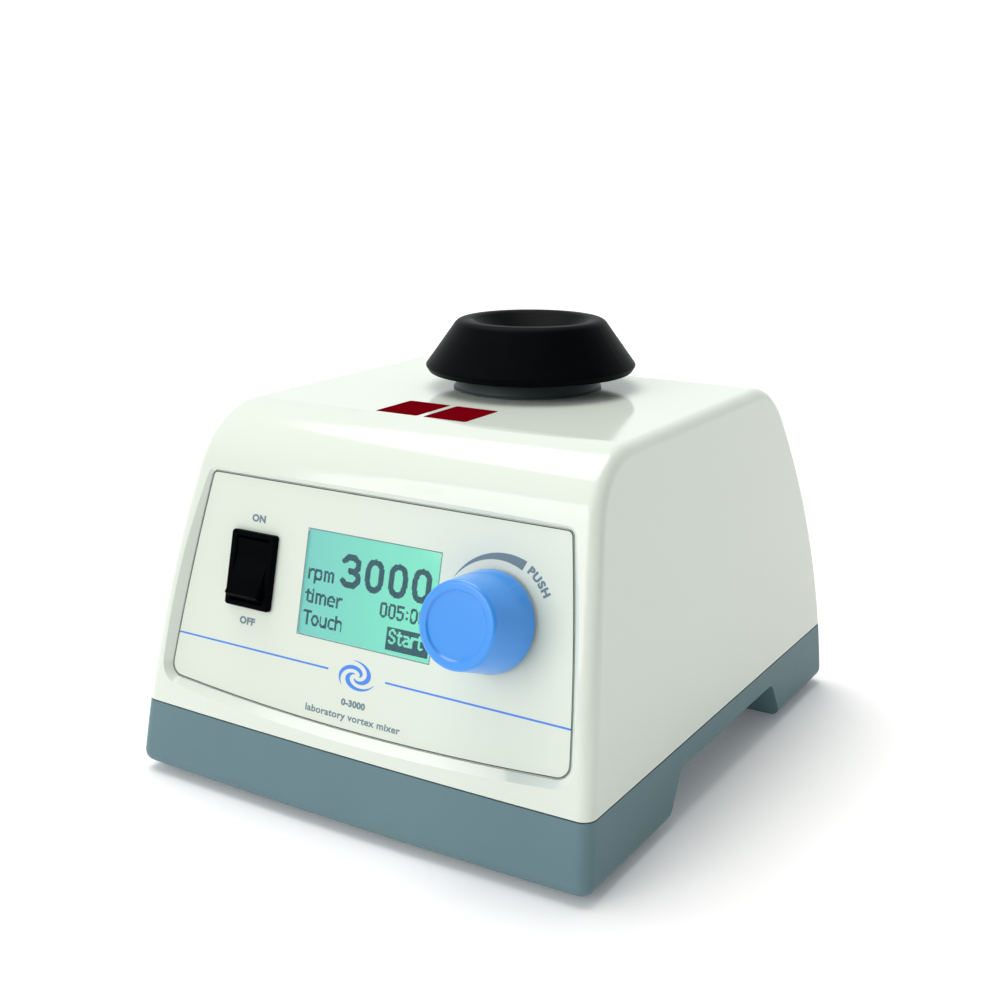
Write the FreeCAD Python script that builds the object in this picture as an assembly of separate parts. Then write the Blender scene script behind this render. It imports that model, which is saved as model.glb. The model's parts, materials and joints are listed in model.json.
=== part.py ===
import FreeCAD, Part
import math
import os

V = FreeCAD.Vector
X_DIR, Z_DIR = V(1, 0, 0), V(0, 0, 1)

# Vortex mixer. Millimetres, +Z up, control panel facing -Y, the feet stand on z = 0 and the
# origin is under the middle of the overall box.

# Casing. Each wall is an arc in elevation: how far out it stands at the seam between the casing
# and the base, its lean inwards there in degrees, and its radius.
FRONT_WALL = (98.5, 10.5, 600.0)
BACK_WALL = (104.72, 5.7, 248.0)
SIDE_WALL = (89.2, 4.5, 1050.0)
FRONT_BOW_RADIUS = 3000.0
SEAM_Z = 26.0
SEAM_GAP = 0.5
TOP_Z = 128.8
UNDERSIDE_Z = 2.5
FRONT_BEND = 28.0
BACK_BEND = 25.0
CORNER_ROUND = 4.5
UNDER_ROUND = 4.0
SKIN = 3.0

# Tunnel that crosses the base from side to side between the front and rear feet.
TUNNEL_ROOF_Z = 18.2
TUNNEL_ROOF_Y = (-34.0, 48.5)
TUNNEL_FOOT_Y = (-45.0, 56.5)
TUNNEL_ROUND = 4.5

# Control panel: a flat plane leaning back, that starts at PANEL_Y at the seam's height. Places on
# it are (across, up the slope from the seam, out of the face).
PANEL_LEAN = 13.75
PANEL_Y = -95.6
PANEL_THICK = 1.0
PANEL_BACKING = 2.5
PANEL_TOP = (70.7, 83.5)
PANEL_FOOT = (80.0, 10.6)
PANEL_FOOT_DIP = 3.5
PANEL_SIDE_BOW = 0.8
PANEL_ROUNDS = (2.0, 4.5)
PANEL_GAP = 0.45

WINDOW = (-26.6, 34.7, 52.8, 35.0)
SWITCH_AT = (-48.4, 52.2)
SWITCH_FLANGE = (19.2, 26.0, 2.2)
SWITCH_BODY = (16.8, 23.6, 17.0)
SWITCH_MOUTH = (14.0, 22.4)
ROCKER_PIVOT_OUT = -1.4
ROCKER_TILT = 11.0
ROCKER_REACH = 10.9
KNOB_AT = (47.0, 52.1)
KNOB_BACK = (16.2, 1.5)
KNOB_FRONT = (13.4, 20.3)
KNOB_DISH = (10.7, 0.6)
SPINDLE_R = 3.0

# Mixing head: the motor turns an eccentric pin, and the cup orbits on it.
MOTOR_Y = 17.35
ORBIT = 2.25
CUP_Y = MOTOR_Y + ORBIT
CUP_SEAT_Z = 134.6
CUP_RIM = (27.0, 154.0)
CUP_WIDEST = (39.0, 137.2)
CUP_FOOT = (37.6, 134.9)
CUP_LIP_R = 22.2
CUP_DISH_FOOT = (7.0, 144.0)
CUP_ROUNDS = (4.0, 5.0, 0.9, 0.7)
BOOT_R = (27.4, 25.6)
BOOT_TOP_Z = CUP_SEAT_Z - 1.5
SPIGOT_R = 9.0
SHAFT_R = 4.0
RUNNING_GAP = 0.03

# Sensor windows in the top.
SENSOR_X = (-21.0, -1.5)
SENSOR_SIZE = (17.0, 21.0, 2.5)
SENSOR_Y = -48.9

SCREW_X = 79.0
SCREW_Y = (-79.0, 88.0)
FOOT_X = 60.0
FOOT_Y = (-72.0, 78.0)
FOOT_R = 8.0
FLOOR_Z = TUNNEL_ROOF_Z + SKIN
INLET_AT = (-38.0, 52.0)

os.makedirs("parts", exist_ok=True)


def save(name, shape):
    solids = shape.Solids
    kept = solids[0] if len(solids) == 1 else Part.makeCompound(solids)
    if not kept.isValid():
        print("not valid:", name)
    kept.exportStep("parts/" + name + ".step")
    box = kept.BoundBox
    print(name, len(solids), "solids,", round(kept.Volume / 1000, 2), "cm3, z",
          round(box.ZMin, 2), round(box.ZMax, 2))


def block(low, high):
    size = V(*high) - V(*low)
    return Part.makeBox(size.x, size.y, size.z, V(*low))


def rounded_block(low, high, radius):
    solid = block(low, high)
    upright = [e for e in solid.Edges if abs(e.tangentAt(e.FirstParameter).z) > 0.99]
    return solid.makeFillet(radius, upright)


def rod(radius, x, y, z0, z1):
    return Part.makeCylinder(radius, z1 - z0, V(x, y, z0))


def tube(outer, inner, x, y, z0, z1):
    return rod(outer, x, y, z0, z1).cut(rod(inner, x, y, z0 - 1, z1 + 1))


def turned(points, x=0.0, y=0.0):
    """A solid turned about a vertical axis from (radius, height) points."""
    corners = [V(r, 0, z) for r, z in points]
    face = Part.Face(Part.makePolygon(corners + corners[:1]))
    solid = face.revolve(V(0, 0, 0), Z_DIR, 360)
    solid.translate(V(x, y, 0))
    return solid


def joined(shapes):
    whole = shapes[0]
    for shape in shapes[1:]:
        whole = whole.fuse(shape)
    return whole.removeSplitter()


def group(shapes):
    return Part.makeCompound([s for shape in shapes for s in shape.Solids])


def on_panel(shape, across=0.0, up=0.0):
    """Carries a shape from flat (across, up, out) axes to the leaning control panel."""
    moved = shape.copy()
    moved.translate(V(across, up, 0))
    slope = FreeCAD.Placement(V(0, PANEL_Y, SEAM_Z), FreeCAD.Rotation(X_DIR, 90 - PANEL_LEAN))
    moved.Placement = slope.multiply(moved.Placement)
    return moved


# ---------------------------------------------------------------- casing shape

def wall_out(wall, z, inset=0.0):
    """How far a wall stands from the middle plane at a height."""
    at_seam, lean, radius = wall
    centre_out = at_seam - radius * math.cos(math.radians(lean))
    centre_z = SEAM_Z - radius * math.sin(math.radians(lean))
    return centre_out + math.sqrt((radius - inset) ** 2 - (z - centre_z) ** 2)


def wall_arc(wall, inset, low, high, place):
    heights = (low, (low + high) / 2, high)
    return Part.Arc(*[place(wall_out(wall, z, inset), z) for z in heights]).toShape()


def profile_solid(wall, inset, low, bend, place, far, sweep):
    """Sweeps a wall's profile with its rounded top bend; the other end of it is left far away."""
    top = TOP_Z - inset
    wall_edge = wall_arc(wall, inset, low, top, place)
    foot, crest = place(wall_out(wall, low, inset), low), place(wall_out(wall, top, inset), top)
    far_top, far_foot = place(far, top), place(far, low)
    sides = [wall_edge] + [Part.makeLine(a, b)
                           for a, b in ((crest, far_top), (far_top, far_foot), (far_foot, foot))]
    slab = Part.Face(Part.Wire(Part.__sortEdges__(sides))).extrude(X_DIR)
    edge = [e for e in slab.Edges if (e.CenterOfMass - crest - X_DIR * 0.5).Length < 0.01]
    slab = slab.makeFillet(bend - inset, edge)
    end = [f for f in slab.Faces if abs(f.CenterOfMass.x) < 0.001][0]
    return sweep(end)


def casing(inset, low):
    """The outer form of casing and base together, or with an inset the space inside it."""
    def bowed(face):
        axis = V(0, FRONT_BOW_RADIUS - FRONT_WALL[0], 0)
        half = 3.0
        turned_face = face.copy()
        turned_face.rotate(axis, Z_DIR, -half)
        return turned_face.revolve(axis, Z_DIR, 2 * half)

    def straight(face):
        moved = face.copy()
        moved.translate(V(-150, 0, 0))
        return moved.extrude(V(300, 0, 0))

    front = profile_solid(FRONT_WALL, inset, low, FRONT_BEND, lambda d, z: V(0, -d, z), -200, bowed)
    back = profile_solid(BACK_WALL, inset, low, BACK_BEND, lambda d, z: V(0, d, z), -200, straight)
    above, under = TOP_Z + 20, low - 5
    left = wall_arc(SIDE_WALL, inset, under, above, lambda d, z: V(-d, -200, z))
    right = wall_arc(SIDE_WALL, inset, under, above, lambda d, z: V(d, -200, z))
    ends = [[V(s * wall_out(SIDE_WALL, z, inset), -200, z) for s in (-1, 1)] for z in (under, above)]
    loop = [left, right, Part.makeLine(*ends[0]), Part.makeLine(*ends[1])]
    sides = Part.Face(Part.Wire(Part.__sortEdges__(loop))).extrude(V(0, 400, 0))
    return front.common(back).common(sides)


def rounded_casing(low):
    form = casing(0.0, low)

    def on_side(edge):
        spot = edge.valueAt((edge.FirstParameter + edge.LastParameter) / 2)
        return spot.z > low + 0.1 and abs(abs(spot.x) - wall_out(SIDE_WALL, spot.z)) < 0.05

    form = form.makeFillet(CORNER_ROUND, [e for e in form.Edges if on_side(e)])
    under = [e for e in form.Edges if e.BoundBox.ZMax < low + 0.01]
    return form.makeFillet(UNDER_ROUND, under)


def tunnel(grow):
    """The tunnel under the base, or the same form grown by a wall's thickness."""
    roof = TUNNEL_ROOF_Z + grow
    foot = UNDERSIDE_Z - 10
    rise = TUNNEL_ROOF_Z - UNDERSIDE_Z
    splay = [(TUNNEL_FOOT_Y[i] - TUNNEL_ROOF_Y[i]) / rise for i in (0, 1)]
    front, back = TUNNEL_ROOF_Y[0] - grow, TUNNEL_ROOF_Y[1] + grow
    drop = roof - foot
    corners = [V(-150, front, roof), V(-150, back, roof),
               V(-150, back + splay[1] * drop, foot), V(-150, front + splay[0] * drop, foot)]
    solid = Part.Face(Part.makePolygon(corners + corners[:1])).extrude(V(300, 0, 0))
    crest = [e for e in solid.Edges
             if abs(e.BoundBox.ZMin - roof) < 0.01 and e.BoundBox.XLength > 200]
    return solid.makeFillet(TUNNEL_ROUND + grow, crest)


def panel_block(grow, out_low, out_high):
    """The control panel's outline, grown all round, as a block between two heights off its face."""
    top_x, top_up = PANEL_TOP[0] + grow, PANEL_TOP[1] + grow
    foot_x, foot_up = PANEL_FOOT[0] + grow, PANEL_FOOT[1] - grow
    middle = ((top_x + foot_x) / 2 + PANEL_SIDE_BOW, (top_up + foot_up) / 2)
    a, b = V(-top_x, top_up, 0), V(top_x, top_up, 0)
    c, d = V(foot_x, foot_up, 0), V(-foot_x, foot_up, 0)
    edges = [Part.makeLine(a, b), Part.Arc(b, V(middle[0], middle[1], 0), c).toShape(),
             Part.Arc(c, V(0, foot_up - PANEL_FOOT_DIP, 0), d).toShape(),
             Part.Arc(d, V(-middle[0], middle[1], 0), a).toShape()]
    solid = Part.Face(Part.Wire(edges)).extrude(V(0, 0, out_high - out_low))
    upright = [e for e in solid.Edges if abs(e.tangentAt(e.FirstParameter).z) > 0.99]
    high = [e for e in upright if e.CenterOfMass.y > middle[1]]
    low_spots = [e.CenterOfMass for e in upright if e.CenterOfMass.y < middle[1]]
    solid = solid.makeFillet(PANEL_ROUNDS[0] + grow, high)
    low = [e for e in solid.Edges if any((e.CenterOfMass - spot).Length < 0.01 for spot in low_spots)]
    solid = solid.makeFillet(PANEL_ROUNDS[1] + grow, low)
    solid.translate(V(0, 0, out_low))
    return solid


def panel_recess():
    """The pocket that the panel lies in, with a sloping rim all round."""
    slope_rise = 6.0
    pocket = panel_block(PANEL_GAP, -PANEL_THICK, 0.5)
    near = [f for f in panel_block(PANEL_GAP, -1.0, 0.0).Faces if abs(f.CenterOfMass.z) < 0.001][0]
    far = [f for f in panel_block(PANEL_GAP + slope_rise, -1.0, slope_rise).Faces
           if abs(f.CenterOfMass.z - slope_rise) < 0.001][0]
    rim = Part.makeLoft([near.OuterWire, far.OuterWire], True, True)
    return on_panel(pocket), on_panel(rim)


def behind_panel(depth):
    """Everything further in than a plane that is this deep behind the panel's face."""
    return on_panel(block((-150, -100, -260), (150, 250, -depth)))


def panel_hole(across, up, width, height, radius=1.0):
    return on_panel(rounded_block((across, up, -12), (across + width, up + height, 1), radius))


def switch_hole(slack):
    width, height = SWITCH_BODY[0] + slack, SWITCH_BODY[1] + slack
    return panel_hole(SWITCH_AT[0] - width / 2, SWITCH_AT[1] - height / 2, width, height)


def window_hole(slack):
    x, up, width, height = WINDOW
    return panel_hole(x - slack, up - slack, width + 2 * slack, height + 2 * slack)


def on_knob_axis(shape):
    return on_panel(shape, *KNOB_AT)


def corners_of(xs, ys):
    return [(x, y) for y in ys for x in xs]


SCREW_POINTS = corners_of((-SCREW_X, SCREW_X), SCREW_Y)
FOOT_POINTS = corners_of((-FOOT_X, FOOT_X), FOOT_Y)


def back_lean(z):
    _, lean, radius = BACK_WALL
    return math.degrees(math.asin((z - SEAM_Z) / radius + math.sin(math.radians(lean))))


def on_back(shape, across, z):
    """Carries a shape from flat (across, up, out) axes to the back wall, square to it at z."""
    moved = shape.copy()
    turn = FreeCAD.Rotation(Z_DIR, 180).multiply(FreeCAD.Rotation(X_DIR, 90 - back_lean(z)))
    moved.Placement = FreeCAD.Placement(V(across, wall_out(BACK_WALL, z), z), turn)
    return moved


DISPLAY_BOARD = (-36.0, 27.0, 62.0, 79.0)
DISPLAY_POSTS = [(x, up) for up in (29.0, 77.0) for x in (-34.0, 60.0)]
BOARD_OUT = (-12.4, -10.8)
SENSOR_BOARD_TOP = 114.6
SENSOR_POSTS = corners_of((SENSOR_X[0] - 4.5, SENSOR_X[1] + SENSOR_SIZE[0] + 4.5),
                          (SENSOR_Y + 4, SENSOR_Y + SENSOR_SIZE[1] - 4))
BRACKET_TOP_Z = 82.5
DAMPER_POINTS = corners_of((-36.0, 36.0), (MOTOR_Y - 16, MOTOR_Y + 16))
PLATE_SCREWS = [(15.5 * math.cos(math.radians(a)), MOTOR_Y + 15.5 * math.sin(math.radians(a)))
                for a in (45, 135, 225, 315)]
FUSE_AT = (-8.0, 52.0)
BOARD_Z = 32.0


# ---------------------------------------------------------------- casing pieces

def make_upper_housing(form):
    shell = form.common(block((-150, -150, SEAM_Z + SEAM_GAP / 2), (150, 150, TOP_Z + 10)))
    space = casing(SKIN, SEAM_Z - 5).common(behind_panel(PANEL_THICK + PANEL_BACKING))
    shell = shell.cut(space)
    post_top = 58.0
    posts = []
    for x, y in SCREW_POINTS:
        side = math.copysign(1, x)
        posts.append(rod(4.5, x, y, SEAM_Z + SEAM_GAP / 2, post_top))
        posts.append(block((min(x, x + side * 6), y - 1.2, SEAM_Z + SEAM_GAP / 2),
                           (max(x, x + side * 6), y + 1.2, post_top)))
    inside = casing(SKIN / 2, SEAM_Z - 5)
    shell = joined([shell] + [p.common(inside) for p in posts])
    for x, y in SCREW_POINTS:
        shell = shell.cut(rod(1.5, x, y, SEAM_Z - 1, 44.0))
    backing = -(PANEL_THICK + PANEL_BACKING)
    display_posts = [on_panel(rod(1.9, x, up, BOARD_OUT[1], backing + 1)) for x, up in DISPLAY_POSTS]
    sensor_posts = [rod(2.1, x, y, SENSOR_BOARD_TOP, TOP_Z - 1) for x, y in SENSOR_POSTS]
    shell = joined([shell] + display_posts + sensor_posts)
    for x, up in DISPLAY_POSTS:
        shell = shell.cut(on_panel(rod(1.1, x, up, -20, backing)))
    for x, y in SENSOR_POSTS:
        shell = shell.cut(rod(1.1, x, y, 100, SENSOR_BOARD_TOP + 6))
    for cutter in panel_recess():
        shell = shell.cut(cutter)
    shell = shell.cut(window_hole(1.2)).cut(switch_hole(0.4))
    shell = shell.cut(on_knob_axis(rod(3.6, 0, 0, -12, 2)))
    shell = shell.cut(rod(23.05, 0, MOTOR_Y, TOP_Z - 10, TOP_Z + 1))
    width, depth, _ = SENSOR_SIZE
    for x in SENSOR_X:
        shell = shell.cut(rounded_block((x - 0.06, SENSOR_Y - 0.06, TOP_Z - 10),
                                        (x + width + 0.06, SENSOR_Y + depth + 0.06, TOP_Z + 1), 1.06))
    shell = shell.cut(on_back(block((-14.2, -10.2, -20), (14.2, 10.2, 10)), *INLET_AT))
    shell = shell.cut(on_back(rod(5.5, 0, 0, -20, 10), *FUSE_AT))
    pitch, slot_w, slot_h = 7.0, 3.0, 22.0
    for k in range(7):
        slot = rounded_block((k * pitch, 0, -20), (k * pitch + slot_w, slot_h, 10), 1.4)
        shell = shell.cut(on_back(slot, 62.0, 46.0))
    return shell


def make_base_housing(form):
    top = SEAM_Z - SEAM_GAP / 2
    shell = form.common(block((-150, -150, UNDERSIDE_Z - 1), (150, 150, top))).cut(tunnel(0.0))
    space = casing(SKIN, UNDERSIDE_Z + SKIN).common(block((-150, -150, 0), (150, 150, 60)))
    shell = shell.cut(space.cut(tunnel(SKIN)))
    lip = casing(SKIN + 0.15, SEAM_Z - 4).cut(casing(SKIN + 1.6, SEAM_Z - 5))
    lip = lip.common(block((-150, -150, SEAM_Z - 4), (150, 150, SEAM_Z + 2.5)))
    lip = lip.common(behind_panel(PANEL_THICK + PANEL_BACKING + 0.15))
    rim = casing(SKIN - 0.5, SEAM_Z - 4).cut(casing(SKIN + 1.6, SEAM_Z - 5))
    rim = rim.common(block((-150, -150, SEAM_Z - 4), (150, 150, top)))
    pillars = [rod(5.0, x, y, UNDERSIDE_Z + 1, top) for x, y in SCREW_POINTS]
    shell = joined([shell, rim, lip] + pillars)
    for x, y in SCREW_POINTS:
        shell = shell.cut(rod(4.7, x, y, top, SEAM_Z + 5))
        shell = shell.cut(rod(1.9, x, y, 0, SEAM_Z + 5)).cut(rod(3.6, x, y, 0, 12.0))
        side = math.copysign(1, x)
        shell = shell.cut(block((min(x, x + side * 8), y - 1.4, top),
                                (max(x, x + side * 8), y + 1.4, SEAM_Z + 5)))
    for x, y in FOOT_POINTS:
        shell = shell.cut(rod(FOOT_R + 0.1, x, y, 0, UNDERSIDE_Z + 1.5))
    for x, y in DAMPER_POINTS:
        shell = shell.cut(rod(1.5, x, y, TUNNEL_ROOF_Z - 1, FLOOR_Z + 1))
    for k in range(6):
        x = -15.0 + 6 * k - 1.4
        shell = shell.cut(rounded_block((x, -24, TUNNEL_ROOF_Z - 1), (x + 2.8, -6, FLOOR_Z + 1), 1.3))
    return shell


def make_feet():
    edge, top = 1.0, UNDERSIDE_Z + 1.5
    return group([turned([(0, 0), (FOOT_R - edge, 0), (FOOT_R, edge), (FOOT_R, top), (0, top)], x, y)
                  for x, y in FOOT_POINTS])


def cross_screw(x, y, z_head, length, shank_r, head_r, head_h):
    """A pan-head screw standing on its head, driven upwards."""
    body = turned([(0, z_head - head_h), (head_r * 0.7, z_head - head_h), (head_r, z_head - head_h / 2),
                   (head_r, z_head), (shank_r, z_head), (shank_r, z_head + length), (0, z_head + length)],
                  x, y)
    for across in ((head_r * 0.55, 0.35), (0.35, head_r * 0.55)):
        body = body.cut(block((x - across[0], y - across[1], z_head - head_h - 1),
                              (x + across[0], y + across[1], z_head - head_h * 0.45)))
    return body


def screw_down(x, y, z_seat, length, shank_r, head_r, head_h):
    """The same screw driven downwards, its head above its seat."""
    body = cross_screw(0, 0, 0, length, shank_r, head_r, head_h)
    body.rotate(V(0, 0, 0), X_DIR, 180)
    body.translate(V(x, y, z_seat))
    return body


def make_front_panel():
    panel = on_panel(panel_block(0.0, -PANEL_THICK, 0.0))
    panel = panel.cut(window_hole(0.05)).cut(switch_hole(0.4))
    return panel.cut(on_knob_axis(rod(7.2, 0, 0, -12, 2)))


def make_display():
    x, up, width, height = WINDOW
    pane = rounded_block((x, up, -PANEL_THICK), (x + width, up + height, -0.03), 1.0)
    save("display_window", on_panel(pane))
    glass = block((x - 0.8, up - 0.8, -3.3), (x + width + 0.8, up + height + 0.8, -1.1))
    save("lcd_glass", on_panel(glass))
    edge = 5.5
    frame = block((x - edge, up - edge, -8.5), (x + width + edge, up + height + edge, -3.6))
    pocket = block((x - 1, up - 1, -7.0), (x + width + 1, up + height + 1, -3.0))
    save("lcd_frame", on_panel(frame.cut(pocket)))
    light = block((x - 0.7, up - 0.7, -6.9), (x + width + 0.7, up + height + 0.7, -3.9))
    save("lcd_backlight", on_panel(light))


def make_display_board():
    x0, up0, x1, up1 = DISPLAY_BOARD
    board = block((x0, up0, BOARD_OUT[0]), (x1, up1, BOARD_OUT[1]))
    for x, up in DISPLAY_POSTS:
        board = board.cut(rod(1.15, x, up, -20, 0))
    save("display_board", on_panel(board))
    screws = [on_panel(cross_screw(x, up, BOARD_OUT[0], 5.0, 1.1, 2.1, 1.5)) for x, up in DISPLAY_POSTS]
    screws += [cross_screw(x, y, SENSOR_BOARD_TOP - 1.6, 5.0, 1.1, 2.1, 1.5) for x, y in SENSOR_POSTS]
    save("board_screws", group(screws))


def make_switch():
    flange_w, flange_h, flange_out = SWITCH_FLANGE
    width, height, deep = SWITCH_BODY
    mouth_w, mouth_h = SWITCH_MOUTH
    flange = rounded_block((-flange_w / 2, -flange_h / 2, 0.02),
                           (flange_w / 2, flange_h / 2, flange_out), 1.2)
    rim = [e for e in flange.Edges if abs(e.BoundBox.ZMin - flange_out) < 0.01]
    flange = flange.makeFillet(0.9, rim)
    box = rounded_block((-width / 2, -height / 2, -deep), (width / 2, height / 2, 0.1), 1.0)
    body = flange.fuse(box)
    mouth = block((-mouth_w / 2, -mouth_h / 2, -deep + 2), (mouth_w / 2, mouth_h / 2, flange_out + 1))
    body = body.cut(mouth)
    pivot = Part.makeCylinder(1.25, mouth_w + 2, V(-mouth_w / 2 - 1, 0, ROCKER_PIVOT_OUT), X_DIR)
    body = body.cut(pivot)
    save("switch_body", on_panel(body.removeSplitter(), *SWITCH_AT))
    blades = [block((x - 2.4, up - 0.4, -deep - 7), (x + 2.4, up + 0.4, -deep))
              for x in (-4.5, 4.5) for up in (-7.0, 0.0)]
    save("switch_terminals", on_panel(group(blades), *SWITCH_AT))


def make_rocker():
    """The switch's paddle, tilted so that its upper half is pressed in."""
    half_w = SWITCH_MOUTH[0] / 2 - 0.3
    crest, heel = 29.2, -12.0

    def end(side, angle):
        turn = math.radians(angle)
        return V(-half_w, side * ROCKER_REACH * math.cos(turn), ROCKER_REACH * math.sin(turn))

    edges = [Part.Arc(end(-1, crest), V(-half_w, 0, 3.5), end(1, crest)).toShape()]
    edges += [Part.Arc(end(side, crest), end(side, (crest + heel) / 2), end(side, heel)).toShape()
              for side in (1, -1)]
    under = [end(1, heel), V(-half_w, 3.0, -4.4), V(-half_w, -3.0, -4.4), end(-1, heel)]
    edges += Part.makePolygon(under).Edges
    paddle = Part.Face(Part.Wire(Part.__sortEdges__(edges))).extrude(V(2 * half_w, 0, 0))
    brow = [e for e in paddle.Edges if e.CenterOfMass.z > 4.0 and e.BoundBox.XLength > half_w]
    paddle = paddle.makeFillet(0.5, brow)
    paddle = paddle.fuse(Part.makeCylinder(1.2, 2 * half_w + 1.8, V(-half_w - 0.9, 0, 0), X_DIR))
    paddle = paddle.removeSplitter()
    paddle.rotate(V(0, 0, 0), X_DIR, -ROCKER_TILT)
    paddle.translate(V(0, 0, ROCKER_PIVOT_OUT))
    return on_panel(paddle, *SWITCH_AT)


# ---------------------------------------------------------------- rotary control

def make_encoder():
    backing = -(PANEL_THICK + PANEL_BACKING)
    body = block((-7, -7, -10.7), (7, 7, backing)).fuse(rod(3.5, 0, 0, backing - 0.5, 2.4))
    body = body.cut(rod(SPINDLE_R + RUNNING_GAP, 0, 0, -30, 5)).cut(rod(5.6, 0, 0, -9.6, -5.4))
    save("encoder_body", on_knob_axis(body))
    nut = Part.Face(Part.makePolygon([V(5.5 * math.cos(math.radians(60 * k)),
                                        5.5 * math.sin(math.radians(60 * k)), -0.4) for k in range(7)]))
    nut = nut.extrude(V(0, 0, 2.2)).cut(rod(3.5, 0, 0, -5, 5))
    save("encoder_nut", on_knob_axis(nut))
    save("encoder_washer", on_knob_axis(tube(6.4, 3.6, 0, 0, -1.0, -0.4)))
    across = 4.2
    square = block((-across / 2, -across / 2, -20), (across / 2, across / 2, 20))
    rotor = rod(5.3, 0, 0, -9.2, -5.8)
    hollow = rod(SPINDLE_R, 0, 0, -30, 30).common(square)
    ease = 1 + 2 * RUNNING_GAP / across
    wider = FreeCAD.Matrix()
    wider.scale(ease, ease, 1.0)
    save("encoder_rotor", on_knob_axis(rotor.cut(hollow.transformGeometry(wider))))
    drive = rod(SPINDLE_R, 0, 0, -10.2, -4.5).common(square)
    spindle = drive.fuse(rod(SPINDLE_R - 0.001, 0, 0, -4.8, 15.0)).removeSplitter()
    flat = block((1.5, -10, 5.0), (10, 10, 20))
    save("encoder_spindle", on_knob_axis(spindle.cut(flat)))


def make_knob():
    back_r, back_out = KNOB_BACK
    front_r, front_out = KNOB_FRONT
    dish_r, dish_deep = KNOB_DISH
    round_r = 1.3
    wall = 2.0
    bore_r = SPINDLE_R + 1.6
    profile = [(bore_r, 5.0), (6.4, 5.0), (6.4, 14.6), (front_r - wall, 14.6), (back_r - wall, back_out),
               (back_r, back_out), (front_r, front_out), (dish_r, front_out),
               (dish_r - dish_deep, front_out - dish_deep), (0, front_out - dish_deep), (0, 15.3),
               (bore_r, 15.3)]
    knob = turned(profile)
    crown = [e for e in knob.Edges
             if abs(e.BoundBox.ZMin - front_out) < 0.01 and abs(e.BoundBox.XLength / 2 - front_r) < 0.2]
    knob = knob.makeFillet(round_r, crown)
    foot = [e for e in knob.Edges
            if abs(e.BoundBox.ZMax - back_out) < 0.01 and abs(e.BoundBox.XLength / 2 - back_r) < 0.2]
    save("control_knob", on_knob_axis(knob.makeFillet(0.6, foot)))
    sleeve = tube(bore_r, SPINDLE_R, 0, 0, 5.2, 15.2)
    key = block((1.5, -2.6, 5.2), (bore_r - 0.8, 2.6, 15.0))
    save("knob_sleeve", on_knob_axis(sleeve.fuse(key).removeSplitter()))


# ---------------------------------------------------------------- sensor

def make_sensor():
    width, depth, thick = SENSOR_SIZE
    for name, x in zip(("sensor_window_left", "sensor_window_right"), SENSOR_X):
        save(name, rounded_block((x, SENSOR_Y, TOP_Z - thick),
                                 (x + width, SENSOR_Y + depth, TOP_Z - 0.02), 1.0))
    top = SENSOR_BOARD_TOP
    board = block((SENSOR_X[0] - 7, SENSOR_Y + 1, top - 1.6),
                  (SENSOR_X[1] + width + 7, SENSOR_Y + depth - 1, top))
    for x, y in SENSOR_POSTS:
        board = board.cut(rod(1.15, x, y, 100, 120))
    save("sensor_board", board)
    for name, x in zip(("infrared_emitter", "infrared_receiver"), SENSOR_X):
        cx, cy = x + width / 2, SENSOR_Y + depth / 2
        lamp = rod(2.9, cx, cy, top, top + 1.4).fuse(rod(2.5, cx, cy, top + 1.2, top + 5.4))
        save(name, lamp.fuse(Part.makeSphere(2.5, V(cx, cy, top + 5.4))).removeSplitter())


# ---------------------------------------------------------------- motor and head

def make_motor():
    can = tube(23.0, 21.7, 0, MOTOR_Y, 30.0, 76.0)
    save("motor_can", can)
    bush = 7.0
    top_cap = turned([(bush, 76.0), (23, 76.0), (23, 79.9), (bush + 2, 79.9), (bush + 2, 83.0),
                      (bush, 83.0)], 0, MOTOR_Y)
    for x, y in PLATE_SCREWS:
        top_cap = top_cap.cut(rod(1.5, x, y, 70, 90))
    save("motor_top_cap", top_cap)
    save("motor_rear_cap", turned([(bush, 26.0), (21, 26.0), (23, 28.0), (23, 30.0), (bush, 30.0)],
                                  0, MOTOR_Y))
    inner = SHAFT_R + RUNNING_GAP
    save("motor_bushes", group([tube(bush, inner, 0, MOTOR_Y, 76.2, 82.8),
                                tube(bush, inner, 0, MOTOR_Y, 26.2, 30.0)]))
    stack = tube(21.6, 13.0, 0, MOTOR_Y, 36.0, 70.0)
    slots = 9
    for k in range(slots):
        slot = block((13.8, -1.9, 35.0), (18.6, 1.9, 71.0))
        slot.rotate(V(0, 0, 0), Z_DIR, 360.0 / slots * k)
        slot.translate(V(0, MOTOR_Y, 0))
        stack = stack.cut(slot)
    save("stator_core", stack)
    rings = [turned([(14.2, z), (18.2, z), (19.4, z + 1.2), (19.4, z + 3.2), (18.2, z + 4.4),
                     (14.2, z + 4.4)], 0, MOTOR_Y) for z in (31.4, 70.2)]
    save("stator_windings", group(rings))
    save("rotor_core", tube(12.6, SHAFT_R, 0, MOTOR_Y, 37.0, 69.0))
    save("motor_shaft", rod(SHAFT_R, 0, MOTOR_Y, 24.0, 99.0))
    save("motor_screws", group([screw_down(x, y, BRACKET_TOP_Z, 6.0, 1.5, 2.8, 1.8)
                                for x, y in PLATE_SCREWS]))


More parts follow.
